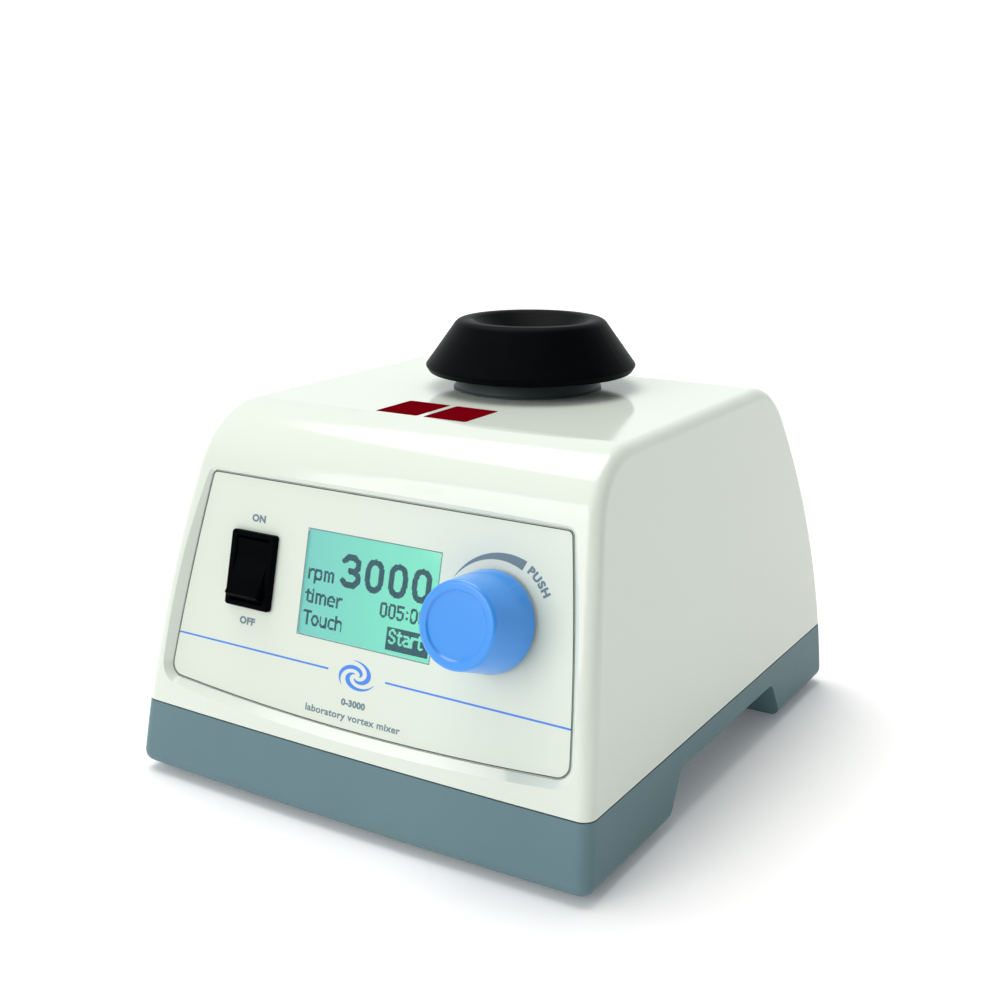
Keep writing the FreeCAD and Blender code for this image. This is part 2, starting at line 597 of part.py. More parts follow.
def make_bracket():
    half_x, half_y, metal = 30.0, 24.0, 2.5
    foot_z, reach = 25.0, 13.0
    low_y, high_y = MOTOR_Y - half_y, MOTOR_Y + half_y
    pieces = [block((-half_x, low_y, BRACKET_TOP_Z - metal), (half_x, high_y, BRACKET_TOP_Z))]
    for side in (-1, 1):
        leg = sorted((side * half_x, side * (half_x - metal)))
        toe = sorted((side * (half_x - metal), side * (half_x + reach)))
        pieces.append(block((leg[0], low_y, foot_z), (leg[1], high_y, BRACKET_TOP_Z)))
        pieces.append(block((toe[0], low_y, foot_z), (toe[1], high_y, foot_z + metal)))
    bracket = joined(pieces)
    bracket = bracket.cut(rod(9.1, 0, MOTOR_Y, 70, 90))
    bracket = bracket.cut(block((-half_x - 1, MOTOR_Y - 10, 40), (half_x + 1, MOTOR_Y + 10, 70)))
    for x, y in PLATE_SCREWS:
        bracket = bracket.cut(rod(1.5, x, y, 70, 90))
    for x, y in DAMPER_POINTS:
        bracket = bracket.cut(rod(3.0, x, y, 20, 30))
    save("motor_bracket", bracket)
    dampers = [turned([(1.5, FLOOR_Z), (6.0, FLOOR_Z), (6.0, foot_z), (3.0, foot_z),
                       (3.0, foot_z + metal), (6.0, foot_z + metal), (6.0, foot_z + metal + 2),
                       (1.5, foot_z + metal + 2)], x, y) for x, y in DAMPER_POINTS]
    save("motor_dampers", group(dampers))
    save("damper_screws", group([screw_down(x, y, foot_z + metal + 2, 11.0, 1.5, 3.6, 2.0)
                                 for x, y in DAMPER_POINTS]))


def make_drive():
    hub = turned([(SHAFT_R, 90.0), (9, 90.0), (9, 94.0), (16, 94.0), (16, 104.0), (SHAFT_R, 104.0)],
                 0, MOTOR_Y)
    hub = hub.fuse(rod(SHAFT_R + 1, 0, MOTOR_Y, 99.0, 104.0)).cut(rod(SHAFT_R, 0, CUP_Y, 99.5, 105.0))
    hub = hub.cut(Part.makeCylinder(1.5, 8, V(SHAFT_R - 1, MOTOR_Y, 92.0), X_DIR))
    save("eccentric_hub", hub.removeSplitter())
    screw = Part.makeCylinder(1.5, 5, V(SHAFT_R, MOTOR_Y, 92.0), X_DIR)
    save("hub_set_screw", screw.cut(block((7, MOTOR_Y - 0.6, 91.4), (10, MOTOR_Y + 0.6, 92.6))))
    weight = tube(24.0, 16.0, 0, MOTOR_Y, 95.0, 103.0)
    weight = weight.common(block((-40, MOTOR_Y - 40, 90), (40, MOTOR_Y - 2, 110)))
    save("counterweight", weight)
    save("eccentric_pin", rod(SHAFT_R, 0, CUP_Y, 99.5, 124.0))
    save("head_bearing_inner_ring", tube(6.2, SHAFT_R, 0, CUP_Y, 112.0, 119.0))
    balls = 8
    ball_r, pitch_r = 1.35, 7.6
    spheres = [Part.makeSphere(ball_r, V(pitch_r * math.cos(2 * math.pi * k / balls),
                                         CUP_Y + pitch_r * math.sin(2 * math.pi * k / balls), 115.5))
               for k in range(balls)]
    save("head_bearing_balls", group(spheres))


def make_carrier():
    save("head_bearing_outer_ring", tube(11.0, 9.0, 0, CUP_Y, 112.0, 119.0))
    column_r, flange_r, flange_z = 19.0, 27.0, CUP_SEAT_Z - 0.8
    spigot_top = CUP_SEAT_Z + 7.6
    carrier = turned([(11.0, 111.0), (14.5, 111.0), (14.5, 121.0), (column_r, 123.5),
                      (column_r, flange_z - 0.6), (column_r + 2, flange_z), (flange_r, flange_z),
                      (flange_r, CUP_SEAT_Z), (SPIGOT_R, CUP_SEAT_Z), (SPIGOT_R, spigot_top - 0.8),
                      (SPIGOT_R - 0.8, spigot_top), (0, spigot_top), (0, 125.5), (9.4, 125.5),
                      (9.4, 119.2), (11.0, 119.2)], 0, CUP_Y)
    save("cup_carrier", carrier)


def make_cup():
    rim_z = CUP_RIM[1]
    foot_r, foot_z = CUP_FOOT
    foot_inner, hub_r, hub_z = foot_r - 3.1, 14.0, CUP_SEAT_Z + 0.1
    bore_r, bore_top = SPIGOT_R + 0.05, CUP_SEAT_Z + 7.7
    cup = turned([(0, CUP_DISH_FOOT[1]), CUP_DISH_FOOT, (CUP_LIP_R, rim_z), CUP_RIM, CUP_WIDEST, CUP_FOOT,
                  (foot_inner, foot_z), (foot_inner, foot_z + 1.1), (24.0, foot_z + 10.3),
                  (hub_r, hub_z + 5.0), (hub_r, hub_z), (bore_r, hub_z), (bore_r, bore_top),
                  (0, bore_top)], 0, CUP_Y)

    def ring(radius, z):
        return [e for e in cup.Edges if abs(e.BoundBox.ZMin - z) < 0.01
                and abs(e.BoundBox.XLength / 2 - radius) < 0.3]

    for spot, radius in zip((CUP_RIM, (CUP_LIP_R, rim_z), CUP_WIDEST, CUP_FOOT), CUP_ROUNDS):
        cup = cup.makeFillet(radius, ring(*spot))
    return cup


def make_collar():
    """A rubber boot that is fixed in the casing's top and stands round the cup's carrier."""
    foot_r, top_r = BOOT_R
    neck_r, seat = 23.0, TOP_Z + 0.02
    return turned([(21.7, seat - 3.8), (neck_r, seat - 3.8), (neck_r, seat), (foot_r, seat),
                   (foot_r, seat + 0.5), (foot_r - 0.5, seat + 1.0), (top_r, BOOT_TOP_Z - 0.3),
                   (top_r - 0.4, BOOT_TOP_Z), (24.4, BOOT_TOP_Z), (21.7, seat + 1.2)], 0, MOTOR_Y)


# ---------------------------------------------------------------- power and control electronics

def make_inlet():
    flange = rounded_block((-16.5, -12.5, 0.02), (16.5, 12.5, 1.6), 2.0)
    body = flange.fuse(block((-13.8, -9.8, -17.0), (13.8, 9.8, 0.5)))
    corner = 4.5
    mouth_w, mouth_h = 24.4, 16.4
    shape = [V(-mouth_w / 2, -mouth_h / 2, -15), V(mouth_w / 2, -mouth_h / 2, -15),
             V(mouth_w / 2, mouth_h / 2 - corner, -15), V(mouth_w / 2 - corner, mouth_h / 2, -15),
             V(-mouth_w / 2 + corner, mouth_h / 2, -15), V(-mouth_w / 2, mouth_h / 2 - corner, -15)]
    mouth = Part.Face(Part.makePolygon(shape + shape[:1])).extrude(V(0, 0, 20))
    body = body.cut(mouth)
    pins = [block((x - 1, up - 2, -22.0), (x + 1, up + 2, -3.0))
            for x, up in ((-7, -2), (7, -2), (0, 2))]
    for pin in pins:
        body = body.cut(pin)
    save("power_inlet", on_back(body.removeSplitter(), *INLET_AT))
    save("inlet_pins", on_back(group(pins), *INLET_AT))
    carrier_r = 6.2
    holder = rod(carrier_r, 0, 0, 0.02, 2.6).fuse(rod(5.4, 0, 0, -24.0, 0.2))
    holder = holder.cut(rod(3.2, 0, 0, -22.5, 0.6))
    cap_slot = block((-4, -0.6, 2.0), (4, 0.6, 4.0))
    save("fuse_holder", on_back(holder.cut(cap_slot), *FUSE_AT))
    save("fuse", on_back(rod(2.6, 0, 0, -21.5, -1.5), *FUSE_AT))


def board_on_posts(name, x0, x1, y0, y1):
    """Saves one circuit board and returns the snap-in posts that it stands on."""
    spots = corners_of((x0 + 4, x1 - 4), (y0 + 4, y1 - 4))
    board = block((x0, y0, BOARD_Z), (x1, y1, BOARD_Z + 1.6))
    for x, y in spots:
        board = board.cut(rod(1.5, x, y, 20, 50))
    save(name, board)
    return [rod(3.0, x, y, FLOOR_Z, BOARD_Z).fuse(rod(1.5, x, y, BOARD_Z - 0.5, BOARD_Z + 1.7))
            for x, y in spots]


def make_electronics():
    top = BOARD_Z + 1.6
    posts = board_on_posts("power_board", -80.0, -47.0, -28.0, 46.0)
    posts += board_on_posts("motor_board", 47.0, 80.0, -28.0, 46.0)
    save("board_posts", group(posts))
    save("transformer", joined([rounded_block((-76, 8, top), (-52, 36, top + 24), 1.5),
                                block((-72, 5, top), (-56, 39, top + 18))]))
    save("capacitors", group([rod(6.0, x, -10.0, top, top + 22) for x in (-70.0, -56.0)]))
    sink = [block((52, 20, top), (76, 22.5, top + 24))]
    sink += [block((52 + 5 * k, 20, top), (54 + 5 * k, 34, top + 24)) for k in range(5)]
    save("heat_sink", joined(sink))
    back = BOARD_OUT[0]
    chips = [block((54, -16, top), (66, -4, top + 2.2)), block((56, 2, top), (72, 8, top + 8)),
             on_panel(block((-20, 38, back - 2.2), (-6, 52, back))),
             on_panel(block((4, 40, back - 1.8), (14, 50, back))),
             on_panel(block((-24, 62, back - 5.6), (-4, 68, back)))]
    save("circuit_chips", group(chips))


def lead(points, section, bend):
    """A lead along straight runs joined by tangent arcs; the section is a wire about the start."""
    spots = [V(*p) for p in points]
    edges, start = [], spots[0]
    for before, corner, after in zip(spots, spots[1:], spots[2:]):
        back, on = (before - corner).normalize(), (after - corner).normalize()
        half_turn = (math.pi - back.getAngle(on)) / 2
        run = bend * math.tan(half_turn)
        enter, leave = corner + back * run, corner + on * run
        middle = corner + (back + on).normalize() * (bend / math.cos(half_turn) - bend)
        edges += [Part.makeLine(start, enter), Part.Arc(enter, middle, leave).toShape()]
        start = leave
    edges.append(Part.makeLine(start, spots[-1]))
    return Part.Wire(edges).makePipeShell([section(spots[0], spots[1] - spots[0])], True, False)


def make_leads():
    def wire_section(spot, along):
        return Part.Wire(Part.makeCircle(0.9, spot, along))

    def ribbon_section(spot, along):
        half = 6.0
        thick = along.cross(X_DIR).normalize() * 0.5
        corners = [spot + X_DIR * half * i + thick * j for i, j in ((-1, -1), (1, -1), (1, 1), (-1, 1))]
        return Part.makePolygon(corners + corners[:1])

    top = BOARD_Z + 1.6
    leads = []
    for k in (-1, 0, 1):
        y = MOTOR_Y + 3 * k
        leads.append(lead([(23.2, y, 56), (38, y, 56), (49.5, y, 46), (49.5, y, top)], wire_section, 4.0))
        x, pin_x = -60 - 4 * k, INLET_AT[0] - 7 * k
        leads.append(lead([(pin_x, 78.0, 44.0 + 4 * (1 - abs(k))), (pin_x, 68, 44.0 + 4 * (1 - abs(k))),
                           (x, 56, 41), (x, 43, 41), (x, 43, top)], wire_section, 2.2))
    plug_up, plug_x = 30.0, 49.0
    lean = math.radians(PANEL_LEAN)
    plug_y = PANEL_Y + plug_up * math.sin(lean) - BOARD_OUT[0] * math.cos(lean) + 0.3
    plug_z = SEAM_Z + plug_up * math.cos(lean) + BOARD_OUT[0] * math.sin(lean)
    leads.append(lead([(plug_x, plug_y, plug_z), (plug_x, plug_y + 12, plug_z), (plug_x, -38, 40),
                       (plug_x, -18, 40), (plug_x, -18, top)], ribbon_section, 4.0))
    return group(leads)


form = rounded_casing(UNDERSIDE_Z)
save("upper_housing", make_upper_housing(form))
save("base_housing", make_base_housing(form))
save("rubber_feet", make_feet())
save("housing_screws", group([cross_screw(x, y, 12.0, 30.0, 1.5, 3.3, 2.4) for x, y in SCREW_POINTS]))
save("front_panel", make_front_panel())
make_display()
make_display_board()
make_switch()
save("rocker", make_rocker())
make_encoder()
make_knob()
make_sensor()
make_motor()
make_bracket()
make_drive()
make_carrier()
save("rubber_cup", make_cup())
save("collar", make_collar())
make_inlet()
make_electronics()
save("internal_leads", make_leads())
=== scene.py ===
import bpy
import bmesh
import json
import math
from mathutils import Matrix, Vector


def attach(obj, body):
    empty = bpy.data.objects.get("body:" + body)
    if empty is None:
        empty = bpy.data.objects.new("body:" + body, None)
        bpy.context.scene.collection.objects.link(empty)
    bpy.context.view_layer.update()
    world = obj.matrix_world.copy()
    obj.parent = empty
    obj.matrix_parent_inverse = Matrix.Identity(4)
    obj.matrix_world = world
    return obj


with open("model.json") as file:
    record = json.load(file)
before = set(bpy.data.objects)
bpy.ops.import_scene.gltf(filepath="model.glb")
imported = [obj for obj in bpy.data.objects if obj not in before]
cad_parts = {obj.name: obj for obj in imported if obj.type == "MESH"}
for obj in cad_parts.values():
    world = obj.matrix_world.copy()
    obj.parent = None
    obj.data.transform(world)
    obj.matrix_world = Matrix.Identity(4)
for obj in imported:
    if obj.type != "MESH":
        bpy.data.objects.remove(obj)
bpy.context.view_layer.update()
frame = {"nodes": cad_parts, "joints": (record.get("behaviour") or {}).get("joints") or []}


# Table: white sweep paper that runs from under the mixer to far behind it, with no edge in view.
# It is matt, so it shows nothing but the soft shadows under the base.

def colour(hexes):
    """An sRGB hex value such as "e6e2da" as linear red, green, blue and alpha."""
    channels = [int(hexes[i:i + 2], 16) / 255 for i in (0, 2, 4)]
    return [c / 12.92 if c <= 0.04045 else ((c + 0.055) / 1.055) ** 2.4 for c in channels] + [1.0]


def add(tree, kind, inputs=None, **settings):
    """Adds a shader node. Each input is a plain value, or another node's output to link."""
    made = tree.nodes.new("ShaderNode" + kind)
    for name, value in settings.items():
        setattr(made, name, value)
    for name, value in (inputs or {}).items():
        if isinstance(value, bpy.types.NodeSocket):
            tree.links.new(value, made.inputs[name])
        else:
            made.inputs[name].default_value = value
    return made


def substance(name, **inputs):
    """A new material: its tree, its shader with constant values on it, and the object's coordinates."""
    made = bpy.data.materials.new(name)
    made.use_nodes = True
    tree = made.node_tree
    shader = tree.nodes["Principled BSDF"]
    for key, value in inputs.items():
        shader.inputs[key.replace("_", " ")].default_value = value
    return made, tree, shader, add(tree, "TexCoord").outputs["Object"]


def per_mm(size):
    """A texture's scale for features of this size in millimetres, on coordinates in metres."""
    return 1000.0 / size


bpy.ops.mesh.primitive_plane_add(size=60, location=(0, 0, 0))
table = bpy.context.object
table.name = "table"
paper, tree, shader, place = substance("white sweep paper", Roughness=0.9, Specular_IOR_Level=0.0,
                                       Emission_Strength=0.08)
fibres = add(tree, "TexNoise", {"Vector": place, "Scale": per_mm(40), "Detail": 3.0})
tint = add(tree, "Mix", {0: fibres.outputs["Fac"], 6: colour("f9f9f9"), 7: colour("fdfdfd")},
           data_type="RGBA")
tree.links.new(tint.outputs[2], shader.inputs["Base Color"])
table.data.materials.append(paper)


# Room and lamps: white behind and above, dimmer in front and to the right, as in a small product
# studio. A wide, slightly warm lamp hangs almost overhead, and a weaker one at the front left opens
# up the panel.

scene = bpy.context.scene
scene.view_settings.view_transform = "Standard"
world = bpy.data.worlds.new("soft white room")
scene.world = world
world.use_nodes = True
room = world.node_tree
direction = add(room, "TexCoord").outputs["Generated"]
toward_front = add(room, "VectorMath", {0: direction, 1: (0.52, -0.85, 0.0)}, operation="DOT_PRODUCT")
walls = add(room, "MapRange", {"Value": toward_front.outputs["Value"], "From Min": -0.4, "From Max": 0.4,
                               "To Min": 1.0, "To Max": 0.14}, interpolation_type="SMOOTHSTEP")
height = add(room, "SeparateXYZ", {"Vector": direction})
ceiling = add(room, "MapRange", {"Value": height.outputs["Z"], "From Min": 0.1, "From Max": 0.75},
              interpolation_type="SMOOTHSTEP")
far_side = add(room, "MapRange", {"Value": height.outputs["X"], "From Min": -0.1, "From Max": 0.6,
                                  "To Min": 0.8, "To Max": 0.22}, interpolation_type="SMOOTHSTEP")
lit = add(room, "Mix", {0: ceiling.outputs["Result"], 2: walls.outputs["Result"],
                        3: far_side.outputs["Result"]})
seen = add(room, "Mix", {0: add(room, "LightPath").outputs["Is Camera Ray"], 2: lit.outputs[0], 3: 1.1})
room.links.new(seen.outputs[0], room.nodes["Background"].inputs["Strength"])
room.nodes["Background"].inputs["Color"].default_value = (0.95, 1, 1, 1)

for name, shines, spread, strength in (("high_lamp", (0.3, -0.15, -0.94), 44, 1.75),
                                       ("front_lamp", (0.38, 0.85, -0.36), 35, 1.05)):
    lamp = bpy.data.objects.new(name, bpy.data.lights.new(name, "SUN"))
    lamp.data.angle = math.radians(spread)
    lamp.data.energy = strength
    lamp.data.color = (1.0, 0.945, 0.93)
    lamp.rotation_euler = Vector(shines).to_track_quat("-Z", "Y").to_euler()
    scene.collection.objects.link(lamp)

camera = bpy.data.objects.new("camera", bpy.data.cameras.new("camera"))
camera.data.lens = 49.372
camera.data.clip_start = 0.01
camera.location = (0.25543, -0.41669, 0.22121)
camera.rotation_euler = (math.radians(90 - 15.137), 0, math.radians(31.638))
scene.collection.objects.link(camera)
scene.camera = camera


# Base housing: a die-cast zinc tray with a tunnel under it, sprayed with a fine grey texture paint.
# The paint breaks up highlights with grains of about a third of a millimetre.

def dress(material, *nodes):
    """Gives CAD nodes their material."""
    for name in nodes:
        for slot in frame["nodes"][name].material_slots:
            slot.material = material


texture_paint, tree, shader, place = substance("grey texture paint on zinc", IOR=1.5,
                                               Specular_IOR_Level=0.1)
clouds = add(tree, "TexNoise", {"Vector": place, "Scale": per_mm(18), "Detail": 3.0})
tint = add(tree, "Mix", {0: clouds.outputs["Fac"], 6: colour("66828a"), 7: colour("6c878d")},
           data_type="RGBA")
tree.links.new(tint.outputs[2], shader.inputs["Base Color"])
grains = add(tree, "TexVoronoi", {"Vector": place, "Scale": per_mm(0.35)})
sheen = add(tree, "MapRange", {"Value": grains.outputs["Distance"], "To Min": 0.34, "To Max": 0.5})
tree.links.new(sheen.outputs["Result"], shader.inputs["Roughness"])
bump = add(tree, "Bump", {"Strength": 0.22, "Distance": 0.00006, "Height": grains.outputs["Distance"]})
tree.links.new(bump.outputs["Normal"], shader.inputs["Normal"])
dress(texture_paint, "base_housing")


# Feet and motor dampers: moulded nitrile rubber pads with a dusty matt face.
# Rubber scatters light widely and holds pale dust in its low spots.

black_rubber, tree, shader, place = substance("black nitrile rubber", Roughness=0.78, IOR=1.52)
dust = add(tree, "TexNoise", {"Vector": place, "Scale": per_mm(3), "Detail": 6.0})
tint = add(tree, "Mix", {0: dust.outputs["Fac"], 6: colour("1b1c1d"), 7: colour("303233")},
           data_type="RGBA")
tree.links.new(tint.outputs[2], shader.inputs["Base Color"])
bump = add(tree, "Bump", {"Strength": 0.3, "Distance": 0.0001, "Height": dust.outputs["Fac"]})
tree.links.new(bump.outputs["Normal"], shader.inputs["Normal"])
dress(black_rubber, "rubber_feet", "motor_dampers")


# Screws, spindles, shaft and bearing: turned or rolled steel, bright, with a thin film of oil.
# Turning leaves rings round the axis, drawn coarse enough to stretch the highlights.

bright_steel, tree, shader, place = substance("turned bright steel", Base_Color=colour("b9bbbd"),
                                              Metallic=1.0)
rings = add(tree, "TexWave", {"Vector": place, "Scale": per_mm(1.2), "Distortion": 2.0, "Detail": 2.0},
            bands_direction="Z")
sheen = add(tree, "MapRange", {"Value": rings.outputs["Fac"], "To Min": 0.18, "To Max": 0.34})
tree.links.new(sheen.outputs["Result"], shader.inputs["Roughness"])
bump = add(tree, "Bump", {"Strength": 0.08, "Distance": 0.00005, "Height": rings.outputs["Fac"]})
tree.links.new(bump.outputs["Normal"], shader.inputs["Normal"])
dress(bright_steel, "housing_screws", "board_screws", "motor_screws", "damper_screws", "hub_set_screw",
      "motor_shaft", "eccentric_pin", "encoder_spindle", "encoder_nut", "encoder_washer",
      "head_bearing_inner_ring", "head_bearing_outer_ring", "head_bearing_balls")


# Motor can, display frame and motor bracket: pressed steel sheet with a zinc coat.
# The zinc froze in crystals a few millimetres across, each a slightly different grey.

zinc_coat, tree, shader, place = substance("zinc-coated sheet steel", Metallic=1.0)
spangle = add(tree, "TexVoronoi", {"Vector": place, "Scale": per_mm(3)})
grey = add(tree, "RGBToBW", {"Color": spangle.outputs["Color"]})
tint = add(tree, "Mix", {0: grey.outputs["Val"], 6: colour("9a9fa2"), 7: colour("b8bcbe")},
           data_type="RGBA")
tree.links.new(tint.outputs[2], shader.inputs["Base Color"])
sheen = add(tree, "MapRange", {"Value": grey.outputs["Val"], "To Min": 0.3, "To Max": 0.48})
tree.links.new(sheen.outputs["Result"], shader.inputs["Roughness"])
dress(zinc_coat, "motor_can", "lcd_frame", "motor_bracket")


# Motor caps, hub, encoder body and heat sink: die-cast or extruded aluminium, tumbled.
# Tumbling leaves a soft, slightly uneven grey sheen.

cast_aluminium, tree, shader, place = substance("tumbled cast aluminium", Base_Color=colour("b4b6b8"),
                                                Metallic=1.0)
skin = add(tree, "TexNoise", {"Vector": place, "Scale": per_mm(1.5), "Detail": 6.0})
sheen = add(tree, "MapRange", {"Value": skin.outputs["Fac"], "To Min": 0.36, "To Max": 0.56})
tree.links.new(sheen.outputs["Result"], shader.inputs["Roughness"])
bump = add(tree, "Bump", {"Strength": 0.2, "Distance": 0.00008, "Height": skin.outputs["Fac"]})
tree.links.new(bump.outputs["Normal"], shader.inputs["Normal"])
dress(cast_aluminium, "motor_top_cap", "motor_rear_cap", "eccentric_hub", "encoder_body", "heat_sink")


# Counterweight, pins, terminals and knob sleeve: brass, sawn and turned, a little tarnished.
# The tarnish lies in soft browner patches over the yellow metal.

brass, tree, shader, place = substance("turned brass", Metallic=1.0)
tarnish = add(tree, "TexNoise", {"Vector": place, "Scale": per_mm(4), "Detail": 5.0})
tint = add(tree, "Mix", {0: tarnish.outputs["Fac"], 6: colour("c9a45c"), 7: colour("a98443")},
           data_type="RGBA")
tree.links.new(tint.outputs[2], shader.inputs["Base Color"])
sheen = add(tree, "MapRange", {"Value": tarnish.outputs["Fac"], "To Min": 0.22, "To Max": 0.45})
tree.links.new(sheen.outputs["Result"], shader.inputs["Roughness"])
dress(brass, "counterweight", "inlet_pins", "switch_terminals", "knob_sleeve")


# Motor bushes: sintered bronze, porous and full of oil.
# The pores make a dark speckle of about a fifth of a millimetre.

bronze, tree, shader, place = substance("sintered bronze", Metallic=1.0, Roughness=0.5)
pores = add(tree, "TexVoronoi", {"Vector": place, "Scale": per_mm(0.2)})
tint = add(tree, "Mix", {0: pores.outputs["Distance"], 6: colour("7a5634"), 7: colour("b07f4c")},
           data_type="RGBA")
tree.links.new(tint.outputs[2], shader.inputs["Base Color"])
dress(bronze, "motor_bushes")


# Motor and transformer cores: stacks of varnished silicon steel sheets, half a millimetre each.
# The edges of the sheets show as fine level lines.

core_steel, tree, shader, place = substance("stacked silicon steel", Metallic=1.0)
sheets = add(tree, "TexWave", {"Vector": place, "Scale": per_mm(3.2), "Distortion": 0.3},
             bands_direction="Z")
tint = add(tree, "Mix", {0: sheets.outputs["Fac"], 6: colour("3a3c40"), 7: colour("6c6f74")},
           data_type="RGBA")
tree.links.new(tint.outputs[2], shader.inputs["Base Color"])
sheen = add(tree, "MapRange", {"Value": sheets.outputs["Fac"], "To Min": 0.35, "To Max": 0.6})
tree.links.new(sheen.outputs["Result"], shader.inputs["Roughness"])
dress(core_steel, "stator_core", "rotor_core", "transformer")


# Motor windings: enamelled copper wire, wound in tight layers and dipped in varnish.
# Each turn is a fine ridge, drawn at 0.6 mm so that it shows, and the copper is painted darker in the
# grooves between turns as painted shade.

copper, tree, shader, place = substance("enamelled copper wire", Metallic=1.0, Coat_Weight=0.6,
                                        Coat_Roughness=0.15, Roughness=0.3)
turns = add(tree, "TexWave", {"Vector": place, "Scale": per_mm(3.8), "Distortion": 0.6},
            wave_type="RINGS", rings_direction="Z")
# Dark brown in the grooves and light copper on the ridges: painted shade laid over the wire's real copper
# colour.
tint = add(tree, "Mix", {0: turns.outputs["Fac"], 6: colour("7d3a1c"), 7: colour("c8733c")},
           data_type="RGBA")
tree.links.new(tint.outputs[2], shader.inputs["Base Color"])
bump = add(tree, "Bump", {"Strength": 0.6, "Distance": 0.0002, "Height": turns.outputs["Fac"]})
tree.links.new(bump.outputs["Normal"], shader.inputs["Normal"])
dress(copper, "stator_windings")


# Circuit boards: woven glass in epoxy under green solder resist, with copper tracks below it.
# The tracks show as paler bands through the resist.

board_green, tree, shader, place = substance("green solder resist", Roughness=0.32, IOR=1.5)
tracks = add(tree, "TexBrick", {"Vector": place, "Scale": per_mm(4), "Color1": colour("1d6a3c"),
                                "Color2": colour("1f7442"), "Mortar": colour("155030"),
                                "Mortar Size": 0.06}, offset=0.35)
tree.links.new(tracks.outputs["Color"], shader.inputs["Base Color"])
bump = add(tree, "Bump", {"Strength": 0.2, "Distance": 0.00005, "Height": tracks.outputs["Fac"]})
tree.links.new(bump.outputs["Normal"], shader.inputs["Normal"])
dress(board_green, "display_board", "sensor_board", "power_board", "motor_board")


# Chips: black epoxy, moulded in a blasted tool, so that they look like fine slate.

black_epoxy, tree, shader, place = substance("moulded black epoxy", Base_Color=colour("16171a"), IOR=1.55)
grit = add(tree, "TexNoise", {"Vector": place, "Scale": per_mm(0.3), "Detail": 3.0})
sheen = add(tree, "MapRange", {"Value": grit.outputs["Fac"], "To Min": 0.45, "To Max": 0.7})
tree.links.new(sheen.outputs["Result"], shader.inputs["Roughness"])
dress(black_epoxy, "circuit_chips")


# Capacitors and leads: shrink sleeve and soft PVC, both smooth with a waxy sheen.
# Handling leaves both a little uneven in gloss.

shrink_sleeve, tree, shader, place = substance("dark blue shrink sleeve", Base_Color=colour("1b2946"),
                                               IOR=1.54)
creases = add(tree, "TexNoise", {"Vector": place, "Scale": per_mm(6), "Detail": 3.0})
sheen = add(tree, "MapRange", {"Value": creases.outputs["Fac"], "To Min": 0.2, "To Max": 0.36})
tree.links.new(sheen.outputs["Result"], shader.inputs["Roughness"])
dress(shrink_sleeve, "capacitors")

soft_pvc, tree, shader, place = substance("grey soft PVC", IOR=1.53)
marks = add(tree, "TexNoise", {"Vector": place, "Scale": per_mm(8), "Detail": 4.0})
tint = add(tree, "Mix", {0: marks.outputs["Fac"], 6: colour("77797c"), 7: colour("8c8e90")},
           data_type="RGBA")
tree.links.new(tint.outputs[2], shader.inputs["Base Color"])
sheen = add(tree, "MapRange", {"Value": marks.outputs["Fac"], "To Min": 0.36, "To Max": 0.5})
tree.links.new(sheen.outputs["Result"], shader.inputs["Roughness"])
dress(soft_pvc, "internal_leads")


# Board posts and encoder rotor: natural nylon, cloudy and off-white.
# Light sinks a little way in, so that edges look soft.

nylon, tree, shader, place = substance("natural nylon", IOR=1.53, Roughness=0.4, Subsurface_Weight=0.2,
                                       Subsurface_Scale=0.002)
cloud = add(tree, "TexNoise", {"Vector": place, "Scale": per_mm(5), "Detail": 2.0})
tint = add(tree, "Mix", {0: cloud.outputs["Fac"], 6: colour("ddd8c8"), 7: colour("e8e4d8")},
           data_type="RGBA")
tree.links.new(tint.outputs[2], shader.inputs["Base Color"])
dress(nylon, "board_posts", "encoder_rotor")


# Power inlet, fuse holder, rocker switch: glass-filled nylon, black, from polished tools.
# Flow of the hot nylon leaves faint satin and gloss clouds in the black.

black_nylon, tree, shader, place = substance("black glass-filled nylon", Base_Color=colour("040608"),
                                             IOR=1.53, Specular_IOR_Level=0.01)
flow = add(tree, "TexNoise", {"Vector": place, "Scale": per_mm(4), "Detail": 4.0, "Distortion": 0.6})
sheen = add(tree, "MapRange", {"Value": flow.outputs["Fac"], "To Min": 0.26, "To Max": 0.38})
tree.links.new(sheen.outputs["Result"], shader.inputs["Roughness"])
bump = add(tree, "Bump", {"Strength": 0.06, "Distance": 0.0001, "Height": flow.outputs["Fac"]})
tree.links.new(bump.outputs["Normal"], shader.inputs["Normal"])
dress(black_nylon, "switch_body", "rocker", "power_inlet", "fuse_holder")

fuse_glass, tree, shader, place = substance("clear fuse glass", Base_Color=colour("eef3f2"), IOR=1.52,
                                            Transmission_Weight=1.0)
smears = add(tree, "TexNoise", {"Vector": place, "Scale": per_mm(3), "Detail": 2.0})
sheen = add(tree, "MapRange", {"Value": smears.outputs["Fac"], "To Min": 0.01, "To Max": 0.06})
tree.links.new(sheen.outputs["Result"], shader.inputs["Roughness"])
dress(fuse_glass, "fuse")


# Upper housing: one glossy moulding in white ABS that holds the panel, the sensor windows and the
# head. Moulded ABS has a very faint waviness under its gloss, which softens what it mirrors.

white_abs, tree, shader, place = substance("white ABS, polished mould", Base_Color=colour("e0e8dd"),
                                           IOR=1.53, Specular_IOR_Level=0.4)
clouds = add(tree, "TexNoise", {"Vector": place, "Scale": per_mm(30), "Detail": 4.0})
sheen = add(tree, "MapRange", {"Value": clouds.outputs["Fac"], "To Min": 0.07, "To Max": 0.13})
tree.links.new(sheen.outputs["Result"], shader.inputs["Roughness"])
waves = add(tree, "TexNoise", {"Vector": place, "Scale": per_mm(6), "Detail": 2.0})
bump = add(tree, "Bump", {"Strength": 0.015, "Distance": 0.0002, "Height": waves.outputs["Fac"]})
tree.links.new(bump.outputs["Normal"], shader.inputs["Normal"])
dress(white_abs, "upper_housing")

